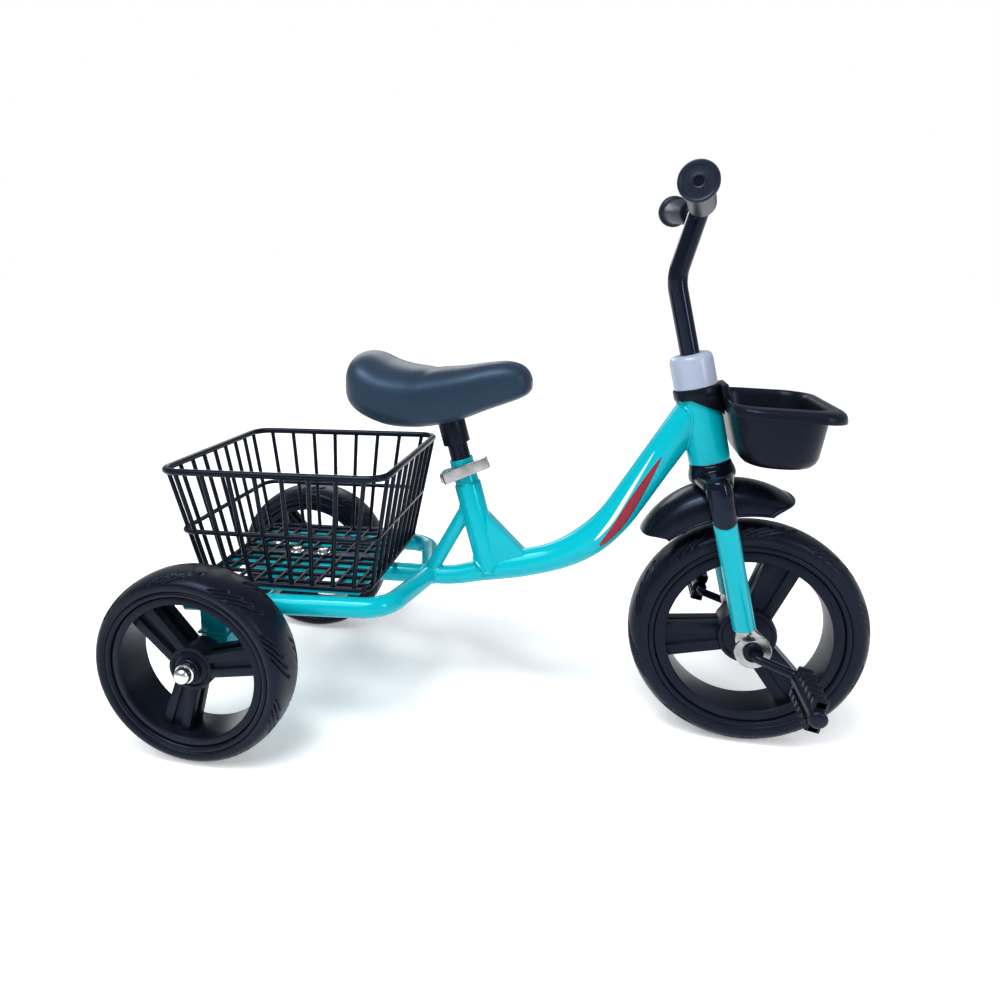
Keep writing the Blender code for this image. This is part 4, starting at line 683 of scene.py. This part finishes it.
dipped = finish(
    "dipped_wire", ((0.0030, 0.0032, 0.0058), (0.0050, 0.0054, 0.0090)), (0.20, 0.32), grain=300, bump=0.08,
    shine=0.20, glint=NAVY_SHEEN,
)
FLOOR_BASE, FLOOR_REAR, FLOOR_FRONT, FLOOR_HALF = 0.0139, -0.1200, 0.0716, 0.0950
RIM_REAR, RIM_FRONT, RIM_HALF, TALL = -0.1440, 0.0980, 0.1120, 0.1310


def between(low, high, share):
    return low + (high - low) * share


def wire_ring(share, thick, corner, lift=0.0):
    """A closed ring of wire round the basket, part way up its walls."""
    rear, front = between(FLOOR_REAR, RIM_REAR, share), between(FLOOR_FRONT, RIM_FRONT, share)
    half, height = between(FLOOR_HALF, RIM_HALF, share), FLOOR_BASE + TALL * share + lift
    corners = [
        (rear + 0.05, -half), (front, -half), (front, half), (rear, half), (rear, -half),
        (rear + 0.05, -half)
    ]
    points = bent([(x, y, height) for x, y in corners], (corner,) * 4, 7)
    return tube([rack_axis @ point for point in points[:-1]], thick, 16, ring=True)


wires = [
    wire_ring(1, 0.0036, 0.020, -0.0036), wire_ring(0.46, 0.0026, 0.015),
    wire_ring(0, 0.0028, 0.011, 0.0028)
]
low, high = FLOOR_BASE + 0.0021, FLOOR_BASE + TALL - 0.0030
for i in range(8):
    share = (i + 0.5) / 8
    floor_x = between(FLOOR_REAR + 0.0046, FLOOR_FRONT - 0.0046, share)
    rim_x = between(RIM_REAR + 0.0046, RIM_FRONT - 0.0046, share)
    corners = [
        (rim_x, -RIM_HALF, high), (floor_x, -FLOOR_HALF, low), (floor_x, FLOOR_HALF, low),
        (rim_x, RIM_HALF, high),
    ]
    wires.append(tube([rack_axis @ point for point in bent(corners, (0.007, 0.007), 5)], 0.0024, 12))
for i in range(9):
    across = 0.02 + 0.96 * (i + 0.5) / 9
    floor_y, rim_y = between(-FLOOR_HALF, FLOOR_HALF, across), between(-RIM_HALF, RIM_HALF, across)
    corners = [
        (RIM_REAR, rim_y, high), (FLOOR_REAR, floor_y, low), (FLOOR_FRONT, floor_y, low),
        (RIM_FRONT, rim_y, high),
    ]
    wires.append(tube([rack_axis @ point for point in bent(corners, (0.007, 0.007), 5)], 0.0024, 12))
strap_low, strap_high = (
    (FLOOR_REAR + 0.004, -0.0070, FLOOR_BASE + 0.0006),
    (FLOOR_FRONT - 0.004, 0.0070, FLOOR_BASE + 0.0042),
)
wires.append(block(strap_low, strap_high, 0.0007, 2, rack_axis))
basket = settle(joined(*wires), "wire_basket", dipped, smooth=50)
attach(basket, "chassis")
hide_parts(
    "rear_basket_floor", *(f"rear_basket_{wall}" for wall in ("left", "right", "front", "back"))
)
for number in (1, 2):
    recast(f"basket_bolt_{number}", f"plated_bolt_{number}", "chassis", chrome, edge=0.0006)


# ---- Seat clamp: a plated bolt through the tube's two ears, its nut, and a flat cast lever with
# round ends that draws the ears together.

nickel = finish(
    "nickel_plate", ((0.26, 0.255, 0.26), (0.44, 0.43, 0.43)), (0.16, 0.34), grain=90, bump=0.10, blotch=60,
    metallic=1.0,
)
recast("clamp_bolt", "clamp_shank", "chassis", nickel, edge=0.0005)
recast("clamp_nut", "clamp_collar", "chassis", nickel, edge=0.0006)
lever = recast(
    "quick_release_lever", "cast_lever", "quick_release", nickel, edge=0.0016, segments=5
)
pin = seat_axis @ Vector((-0.01925, 0, 0.1165))
turn_up = Matrix.Rotation(math.radians(-7), 4, "Y") @ Matrix.Diagonal((1, 1, 1.16, 1))
lever.data.transform(Matrix.Translation(pin) @ turn_up @ Matrix.Translation(-pin))


# ---- Saddle: a black post and moulded pan carry one piece of moulded foam, skinned in smooth navy
# vinyl. The tail stands high, a soft crease crosses the middle and the nose is blunt.

post_outline = [
    (0.0001, 0.045), (0.0104, 0.045), (0.0111, 0.0458), (0.0111, 0.1694), (0.0106, 0.17), (0.0001, 0.17)
]
satin = finish(
    "satin_black", ((0.0028, 0.0032, 0.0062), (0.0048, 0.0054, 0.0095)), (0.20, 0.32), grain=260, bump=0.05,
    shine=0.22, glint=NAVY_SHEEN,
)
post = settle(lathed(post_outline, 64), "saddle_post", satin, SEAT_FOOT, SEAT_TURN)
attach(post, "saddle")
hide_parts("seat_post")
recast("seat_pan", "moulded_pan", "saddle", moulded, edge=0.0010, segments=3)

vinyl = finish(
    "navy_vinyl", ((0.0125, 0.0215, 0.0375), (0.0170, 0.0285, 0.0485)), (0.34, 0.48), grain=380,
    bump=0.22, blotch=7,
    shine=0.34, glint=(0.40, 0.68, 1.0),
)
POST_TOP = seat_axis @ Vector((0, 0, 0.170))
STATIONS = (  # along, half width, top and underside, from the top of the post
    (-0.1112, 0.0200, 0.0600, 0.0370), (-0.1082, 0.0390, 0.0690, 0.0240),
    (-0.0995, 0.0540, 0.0770, 0.0150), (-0.0855, 0.0610, 0.0772, 0.0070),
    (-0.0640, 0.0620, 0.0688, 0.0003), (-0.0400, 0.0570, 0.0646, -0.0012),
    (-0.0140, 0.0475, 0.0642, 0.0015), (0.0127, 0.0370, 0.0668, 0.0088),
    (0.0377, 0.0290, 0.0712, 0.0195), (0.0577, 0.0255, 0.0735, 0.0275),
    (0.0727, 0.0220, 0.0710, 0.0338), (0.0815, 0.0165, 0.0648, 0.0388),
    (0.0862, 0.0085, 0.0560, 0.0445),
)


def eased(before, start, stop, after, share):
    """A point on the smooth curve through start and stop."""
    return 0.5 * (
        2 * start + (stop - before) * share
        + (2 * before - 5 * start + 4 * stop - after) * share ** 2
        + (3 * start - before - 3 * stop + after) * share ** 3
    )


saddle_rows = []
for i in range(len(STATIONS) - 1):
    near = [STATIONS[max(0, min(len(STATIONS) - 1, j))] for j in range(i - 1, i + 3)]
    for k in range(5 if i < len(STATIONS) - 2 else 6):
        along, half, top, under = (eased(*values, k / 5) for values in zip(*near))
        crest = (top + under) / 2
        row = []
        for m in range(64):
            turn = 2 * math.pi * m / 64
            side, rise = math.cos(turn), math.sin(turn)
            wide = math.copysign(abs(side) ** 0.86, side)
            tall = math.copysign(abs(rise) ** (0.78 if rise > 0 else 0.62), rise)
            height = crest + (top - under) / 2 * tall
            if rise > 0:
                height -= 0.0016 * math.exp(-((along + 0.018 + 0.25 * abs(half * side)) / 0.0045) ** 2) * rise
            row.append((POST_TOP.x + along, half * wide, POST_TOP.z + height))
        saddle_rows.append(row)
cushion = skinned(saddle_rows)
fine = cushion.modifiers.new("fine", "SUBSURF")
fine.levels = 1
fine.render_levels = 1
bpy.ops.object.modifier_apply(modifier="fine")
settle(cushion, "saddle_cushion", vinyl, smooth=60)
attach(cushion, "saddle")
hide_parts("seat")


# ---- Front wheel: the same foam and moulding as the rear, larger, with spokes at a third of a
# turn. Its rim grips the middle of the bent crank rod.

FRONT_AXLE = middle("front_rim")
tyre = lathed(tyre_outline(0.1250, 0.0250, 0.0147, 0.0975), steps=800)
sink_tread(tyre, 0.1250, 0.0250, 0.0147, 10)
settle(tyre, "foam_tyre_front", foam, FRONT_AXLE, ON_AXLE, smooth=60)
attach(tyre, "front_wheel")
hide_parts("front_tyre")
rim = spoked_rim(0.0975, 0.0850, 0.0220, 0.0310, 0.0240, 0.0130, 0.038, 0.026, math.radians(-70))
settle(rim, "spoked_rim_front", moulded, FRONT_AXLE, ON_AXLE)
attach(rim, "front_wheel")
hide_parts("front_rim")

gloss = finish(
    "gloss_black", ((0.0024, 0.0028, 0.0054), (0.0040, 0.0045, 0.0080)), (0.10, 0.18), grain=90, bump=0.015,
    shine=0.34, glint=(0.45, 0.60, 1.0),
)
throw = Vector((math.cos(math.radians(-13)), 0, math.sin(math.radians(-13)))) * 0.040
outward = Vector((0, 1, 0))
crank_corners = [
    throw - outward * 0.149, throw - outward * 0.074, -outward * 0.064, outward * 0.064,
    -throw + outward * 0.074, -throw + outward * 0.149,
]
crank_line = [FRONT_AXLE + point for point in bent(crank_corners, (0.008,) * 4, 8)]
crank = settle(tube(crank_line, 0.0045, 28), "bent_crank", satin)
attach(crank, "front_wheel")
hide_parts("crank_axle")
for side_name, side in SIDES.items():
    sleeve = lathed(
        [(0.0049, 0), (0.0079, 0), (0.0085, 0.0008), (0.0085, 0.0191), (0.0079, 0.0199),
         (0.0049, 0.0199)], 48
    )
    foot = (FRONT_AXLE.x, 0.0243 if side > 0 else -0.0442, FRONT_AXLE.z)
    settle(sleeve, f"hub_spacer_{side_name}", moulded, foot, ON_AXLE)
    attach(sleeve, "front_wheel")
    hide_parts(f"front_spacer_{side_name}")


# ---- Pedals: black block pedals, each one moulding with two ribbed tread bars, turning on the
# ends of the crank rod behind a pressed-on cap.

tread = finish(
    "pedal_moulding", ((0.0034, 0.0038, 0.0070), (0.0060, 0.0066, 0.0112)), (0.26, 0.42), grain=420,
    bump=0.16,
    blotch=12, shine=0.24, glint=NAVY_SHEEN,
)
for side_name, side in SIDES.items():
    spindle = FRONT_AXLE - throw * side
    blocks = [lathed(
        [(0.0049, -0.0313), (0.0076, -0.0313), (0.0084, -0.0305), (0.0078, -0.0240), (0.0078, 0.0240),
         (0.0084, 0.0305), (0.0076, 0.0313), (0.0049, 0.0313)], 40
    )]
    blocks[0].data.transform(Matrix.Rotation(math.radians(90), 4, "X"))
    for end in (-0.0313, 0.0258):
        blocks.append(block((-0.0158, end, -0.0058), (0.0158, end + 0.0055, 0.0058), 0.0012))
    for centre in (-0.0120, 0.0120):
        blocks.append(block((centre - 0.0034, -0.0313, -0.0048), (centre + 0.0034, 0.0313, 0.0048), 0.0008))
        for i in range(6):
            start = -0.0306 + 0.0104 * i
            blocks.append(
                block((centre - 0.0042, start, -0.0069), (centre + 0.0042, start + 0.0072, 0.0069), 0.0011)
            )
    tilt = Matrix.Rotation(math.radians(-80), 4, "Y")
    pedal = joined(*blocks)
    pedal.data.transform(Matrix.Translation((spindle.x, side * 0.1145, spindle.z)) @ tilt)
    settle(pedal, f"block_pedal_{side_name}", tread)
    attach(pedal, f"{side_name}_pedal")
    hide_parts(f"pedal_{side_name}")
    recast(
        f"pedal_cap_{side_name}", f"pressed_cap_{side_name}", f"{side_name}_pedal", tread,
        edge=0.0008
    )


# ---- Fork: two straight steel legs in the frame's paint. Each lower end is pressed into a bright
# plated eye round a nylon bush, and the upper ends stand in the moulded crown.

LEG_OUT = 0.048
for side_name, side in SIDES.items():
    bar = lathed(
        [(0.0100, 0.0262), (0.0112, 0.0258), (0.0117, 0.0266), (0.0117, 0.1700), (0.0100, 0.1700)], 56
    )
    settle(bar, f"painted_leg_{side_name}", teal, head_axis @ Vector((0, side * LEG_OUT, 0)), STEER_TURN)
    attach(bar, "steering")
    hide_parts(f"fork_leg_{side_name}")

    eye = lathed(
        [(0.0075, -0.0030), (0.0080, -0.0035), (0.0176, -0.0035), (0.0185, -0.0026), (0.0185, 0.0026),
         (0.0176, 0.0035), (0.0080, 0.0035), (0.0075, 0.0030)], 72
    )
    eye.data.transform(
        Matrix.Translation((0.004, side * LEG_OUT, 0)) @ Matrix.Rotation(math.radians(-90), 4, "X")
    )
    neck_rows = []
    for height, wide, deep, shift in (
        (0.0262, 0.0109, 0.0109, 0.0), (0.0240, 0.0112, 0.0106, 0.04), (0.0212, 0.0120, 0.0092, 0.16),
        (0.0180, 0.0132, 0.0068, 0.40), (0.0150, 0.0143, 0.0046, 0.70), (0.0120, 0.0149, 0.0035, 0.92),
        (0.0095, 0.0150, 0.0033, 1.0),
    ):
        ring_points = []
        for i in range(48):
            turn = 2 * math.pi * i / 48
            ring_points.append(
                (0.004 * shift + wide * math.cos(turn), side * LEG_OUT + deep * math.sin(turn), height)
            )
        neck_rows.append(ring_points)
    dropout = settle(
        joined(eye, skinned(neck_rows)), f"pressed_eye_{side_name}", nickel, STEER_FOOT, STEER_TURN
    )
    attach(dropout, "steering")
    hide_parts(f"dropout_{side_name}")
    bush = lathed(
        [(0.0048, -0.0035), (0.0072, -0.0035), (0.0072, 0.0038), (0.0098, 0.0038), (0.0102, 0.0042),
         (0.0102, 0.0062), (0.0096, 0.0068), (0.0048, 0.0068)], 56
    )
    turned_out = ON_AXLE if side > 0 else (math.radians(90), 0, 0)
    settle(
        bush, f"nylon_bush_{side_name}", moulded, (FRONT_AXLE.x, side * LEG_OUT, FRONT_AXLE.z), turned_out
    )
    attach(bush, "steering")
    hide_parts(f"axle_bush_{side_name}")


# ---- Fork crown: one glossy black moulding, a flared cup under the head tube that swells into an
# egg-shaped sleeve over each leg. The shapes are fused and smoothed together.

crown_pieces = [lathed(
    [(0.0001, 0.1740), (0.0180, 0.1745), (0.0240, 0.1760), (0.0246, 0.1790), (0.0240, 0.1835),
     (0.0224, 0.1890), (0.0215, 0.1922), (0.0208, 0.1930), (0.0001, 0.1930)], 64
)]
for side in (1, -1):
    sleeve = lathed(
        [(0.0001, 0.1390), (0.0122, 0.1390), (0.0130, 0.1402), (0.0137, 0.1550), (0.0136, 0.1700),
         (0.0124, 0.1790), (0.0100, 0.1845), (0.0060, 0.1873), (0.0001, 0.1880)], 48
    )
    for vertex in sleeve.data.vertices:
        low_share = max(0.0, (0.1560 - vertex.co.z) / 0.0170)
        facing = side * vertex.co.y / 0.0130
        vertex.co.z += low_share * (0.0045 - 0.0075 * max(0.0, facing))
    sleeve.data.transform(Matrix.Translation((0, side * LEG_OUT, 0)))
    crown_pieces.append(sleeve)
arch_rows = []
for i in range(25):
    y = -0.048 + 0.096 * i / 24
    arch = math.cos(math.pi * y / 0.110)
    ring_points = []
    for m in range(32):
        turn = 2 * math.pi * m / 32
        ring_points.append((
            (0.0132 + 0.0070 * arch) * math.cos(turn), y,
            0.1768 + 0.0020 * arch + (0.0094 - 0.0014 * arch) * math.sin(turn),
        ))
    arch_rows.append(ring_points)
crown_pieces.append(skinned(arch_rows))
crown = joined(*crown_pieces)
bpy.context.view_layer.objects.active = crown
fused = crown.modifiers.new("fused", "REMESH")
fused.mode = "VOXEL"
fused.voxel_size = 0.0010
eased_off = crown.modifiers.new("eased", "SMOOTH")
eased_off.factor = 0.5
eased_off.iterations = 8
bpy.ops.object.modifier_apply(modifier="fused")
bpy.ops.object.modifier_apply(modifier="eased")
settle(crown, "moulded_crown", gloss, STEER_FOOT, STEER_TURN, smooth=80)
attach(crown, "steering")
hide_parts("fork_crown")


# ---- Headset: a steerer tube in two pressed bearings, held by a lock nut under the lilac cap,
# which is a turned moulding with a rounded top edge and closes round the stem.

for node in ("steerer_tube", "lower_head_bearing", "upper_head_bearing", "steering_lock_nut"):
    parts[node].data.materials[0] = zinc
lilac = finish(
    "lilac_moulding", ((0.300, 0.345, 0.450), (0.340, 0.390, 0.495)), (0.20, 0.32), grain=60, bump=0.02,
    blotch=20,
)
cap = lathed(
    [(0.0198, 0.2738), (0.0214, 0.2738), (0.0220, 0.2744), (0.0220, 0.2990), (0.0217, 0.3022),
     (0.0208, 0.3050), (0.0190, 0.3070), (0.0164, 0.3079), (0.0110, 0.3080), (0.0101, 0.3074),
     (0.0101, 0.3040), (0.0176, 0.3040), (0.0198, 0.3010)], 96
)
settle(cap, "headset_cap", lilac, STEER_FOOT, STEER_TURN)
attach(cap, "steering")
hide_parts("steering_cap")


# ---- Front tub: one black moulding with a thick rolled lip that droops at the front, and a collar
# with a skirt down the front of the head tube.

def tub_back(height):
    """The X of the tub's back wall, which leans with the head tube."""
    return STEER_FOOT.x - (height - STEER_FOOT.z) * math.tan(math.radians(15)) + 0.0248 / math.cos(
        math.radians(15)
    )


def plan(rear, front, half, corner, height, droop=0.0):
    """A rounded rectangle seen from above, its front lower than its back by the droop."""
    points = []
    for turn, x, y in (
        (0, front - corner, half - corner), (90, rear + corner, half - corner),
        (180, rear + corner, -half + corner), (270, front - corner, -half + corner),
    ):
        for i in range(13):
            angle = math.radians(turn + 90 * i / 12)
            px, py = x + corner * math.cos(angle), y + corner * math.sin(angle)
            ahead = max(0.0, (px - rear) / (front - rear))
            points.append((px, py, height - droop * ahead ** 2))
    return points


TUB_FRONT = tub_back(0.381) + 0.094


def tub_row(height, inset, corner, droop=0.0):
    share = (height - 0.318) / 0.063
    half = 0.060 + 0.009 * share
    return plan(
        tub_back(height) + inset, TUB_FRONT - 0.005 * (1 - share) - inset, half - inset, corner, height,
        droop
    )


def lip_row(height, out, corner, droop):
    """A row on the lip, which reaches furthest at the front and hardly at all at the back."""
    rear, front = tub_back(height) - 0.0025 * out, TUB_FRONT + 0.0105 * out
    return plan(rear, front, 0.069 + 0.0115 * out, corner, height, droop)


tub_rows = [
    tub_row(0.3180, 0.0130, 0.020), tub_row(0.3186, 0.0085, 0.023), tub_row(0.3205, 0.0045, 0.026),
    tub_row(0.3245, 0.0014, 0.028), tub_row(0.3300, 0.0, 0.029), tub_row(0.3500, 0.0, 0.028),
    tub_row(0.3690, 0.0, 0.027), tub_row(0.3744, -0.0002, 0.027, 0.001),
    lip_row(0.3756, 0.30, 0.028, 0.001),
    lip_row(0.3758, 0.72, 0.028, 0.002), lip_row(0.3750, 0.86, 0.028, 0.002),
    lip_row(0.3722, 0.93, 0.028, 0.003),
    lip_row(0.3708, 0.98, 0.028, 0.003), lip_row(0.3711, 1.07, 0.029, 0.003),
    lip_row(0.3728, 1.09, 0.029, 0.003),
    lip_row(0.3766, 1.00, 0.028, 0.002), lip_row(0.3788, 0.90, 0.028, 0.002),
    lip_row(0.3799, 0.68, 0.028, 0.001),
    lip_row(0.3804, 0.36, 0.027, 0.001), tub_row(0.3810, -0.0012, 0.026, 0.001),
    tub_row(0.3808, 0.0008, 0.026, 0.001),
    tub_row(0.3795, 0.0022, 0.025, 0.001), tub_row(0.3740, 0.0026, 0.025), tub_row(0.3500, 0.0026, 0.026),
    tub_row(0.3310, 0.0028, 0.026), tub_row(0.3255, 0.0048, 0.024), tub_row(0.3222, 0.0095, 0.021),
    tub_row(0.3212, 0.0150, 0.018),
]
tub = settle(skinned(tub_rows), "moulded_tub", moulded, smooth=50)
collar = lathed(
    [(0.0135, 0.2640), (0.0216, 0.2636), (0.0234, 0.2636), (0.0239, 0.2646), (0.0239, 0.2724),
     (0.0233, 0.2735), (0.0135, 0.2735)], 72
)
skirt = lathed(
    [(0.0215, 0.2400), (0.0228, 0.2400), (0.0235, 0.2410), (0.0235, 0.2700), (0.0215, 0.2700)], 96
)
bpy.ops.object.mode_set(mode="EDIT")
bpy.ops.mesh.select_all(action="SELECT")
bpy.ops.mesh.bisect(
    plane_co=(0.0235, 0, 0.2420), plane_no=(-0.0215, 0, -0.0325), use_fill=True, clear_outer=True
)
bpy.ops.object.mode_set(mode="OBJECT")
web = block((0.0225, -0.0190, 0.2440), (0.0300, 0.0190, 0.2725), 0.0020, 3)
fitting = settle(joined(collar, skirt, web), "tub_collar", moulded, STEER_FOOT, STEER_TURN)
tub = settle(joined(tub, fitting), "moulded_tub", moulded, smooth=50)
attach(tub, "chassis")
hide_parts("front_basket")


# ---- Fender: a deep pressed arch over the front tyre, all in one satin finish, with its edge rolled
# over the nose. One bolt holds it up into the crown.

SECTION = (
    (-1.0, 0.0), (-0.995, 0.14), (-0.985, 0.28), (-0.965, 0.42), (-0.920, 0.56), (-0.850, 0.68),
    (-0.740, 0.79), (-0.580, 0.88), (-0.380, 0.95), (-0.190, 0.988), (0.0, 1.0),
)
section = list(SECTION) + [(-across, up) for across, up in reversed(SECTION[:-1])]


def arch_row(share, lift=0.0):
    """One row across the fender, from its nose to its tail; both ends are cut on the slant."""
    row = []
    for across, up in section:
        tail, nose = 131.0 + 7.5 * up, 87.0 - 9.0 * up
        turn = nose + (tail - nose) * share
        top = 0.1735 - 1.65e-5 * (turn - 110.0) ** 2
        radius = 0.1410 + (top - 0.1410) * up + lift
        angle = math.radians(turn)
        row.append(
            (FRONT_AXLE.x + radius * math.cos(angle), across * 0.0335,
             FRONT_AXLE.z + radius * math.sin(angle))
        )
    return row


shell = skinned([arch_row(i / 36) for i in range(37)], ring=False, caps=False)
wall = shell.modifiers.new("wall", "SOLIDIFY")
wall.thickness = 0.0022
wall.offset = -1
bpy.ops.object.modifier_apply(modifier="wall")
soften(shell, 0.0008, 3)
rolled = tube([Vector(point) for point in arch_row(0.004, -0.0008)], 0.0021, 14)
hem = [Vector(arch_row(i / 30, -0.0004)[0]) for i in range(31)]
other_hem = [Vector((point.x, -point.y, point.z)) for point in hem]
fender = settle(
    joined(shell, rolled, tube(hem, 0.0016, 12), tube(other_hem, 0.0016, 12)), "pressed_fender", satin,
    smooth=50
)
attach(fender, "steering")
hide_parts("fender")
recast("fender_bolt", "plated_fender_bolt", "steering", zinc, edge=0.0005)


# ---- Handlebar: a gloss black stem bent forward, with the swept crossbar welded across its top,
# and soft grips with a broad dished end round a small hole.

stem_line = bent([(0, 0, 0.2510), (0, 0, 0.3850), (0.0340, 0, 0.4450)], (0.050,), 14)
knee, tip = Vector((0.0325, 0.03375, 0.4450)), Vector((0.0205, 0.1300, 0.4583))
way = (tip - knee).normalized()
reach = (tip - knee).length
outer = knee + way * reach * 0.1260 / 0.1300
bar_corners = [(outer.x, -outer.y, outer.z), (knee.x, -knee.y, knee.z), tuple(knee), tuple(outer)]
bar_line = bent(bar_corners, (0.060, 0.060), 10)
seam = [(0.0340 + 0.0100 * math.cos(t) * 0.6 - 0.0045, 0.0104 * math.sin(t),
    0.4378 + 0.0030 * math.cos(t) * 0.6)
        for t in (2 * math.pi * i / 40 for i in range(40))]
handlebar = joined(
    tube([Vector(point) for point in stem_line], 0.0098, 48),
    tube([Vector(point) for point in bar_line], 0.0095, 48),
    tube([Vector(point) for point in seam], 0.0016, 10, ring=True),
)
settle(handlebar, "welded_handlebar", gloss, STEER_FOOT, STEER_TURN)
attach(handlebar, "steering")
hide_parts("handlebar")

soft_grip = finish(
    "grip_rubber", ((0.0060, 0.0078, 0.0140), (0.0090, 0.0112, 0.0190)), (0.32, 0.48), grain=480, bump=0.20,
    blotch=14, shine=0.26, glint=NAVY_SHEEN,
)
for side_name, side in SIDES.items():
    start = reach * (0.0450 - 0.03375) / (0.1300 - 0.03375)
    outline = [
        (0.0098, start), (0.0122, start), (0.0130, start + 0.0012), (0.0130, reach - 0.0118),
        (0.0132, reach - 0.0100), (0.0140, reach - 0.0082), (0.0158, reach - 0.0068),
        (0.0168, reach - 0.0060), (0.0172, reach - 0.0048), (0.0172, reach - 0.0016),
        (0.0168, reach - 0.0004), (0.0158, reach), (0.0146, reach - 0.0004), (0.0132, reach - 0.0018),
        (0.0075, reach - 0.0022), (0.0055, reach - 0.0016), (0.0044, reach - 0.0020),
        (0.0040, reach - 0.0034), (0.0098, reach - 0.0034),
    ]
    sleeve = lathed(outline, 72)
    here = Vector((knee.x, side * knee.y, knee.z))
    aim = Vector((way.x, side * way.y, way.z))
    turned = Matrix.Translation(here) @ aim.to_track_quat("Z", "X").to_matrix().to_4x4()
    sleeve.data.transform(turned)
    settle(sleeve, f"soft_grip_{side_name}", soft_grip, STEER_FOOT, STEER_TURN)
    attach(sleeve, "steering")
    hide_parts(f"grip_{side_name}")
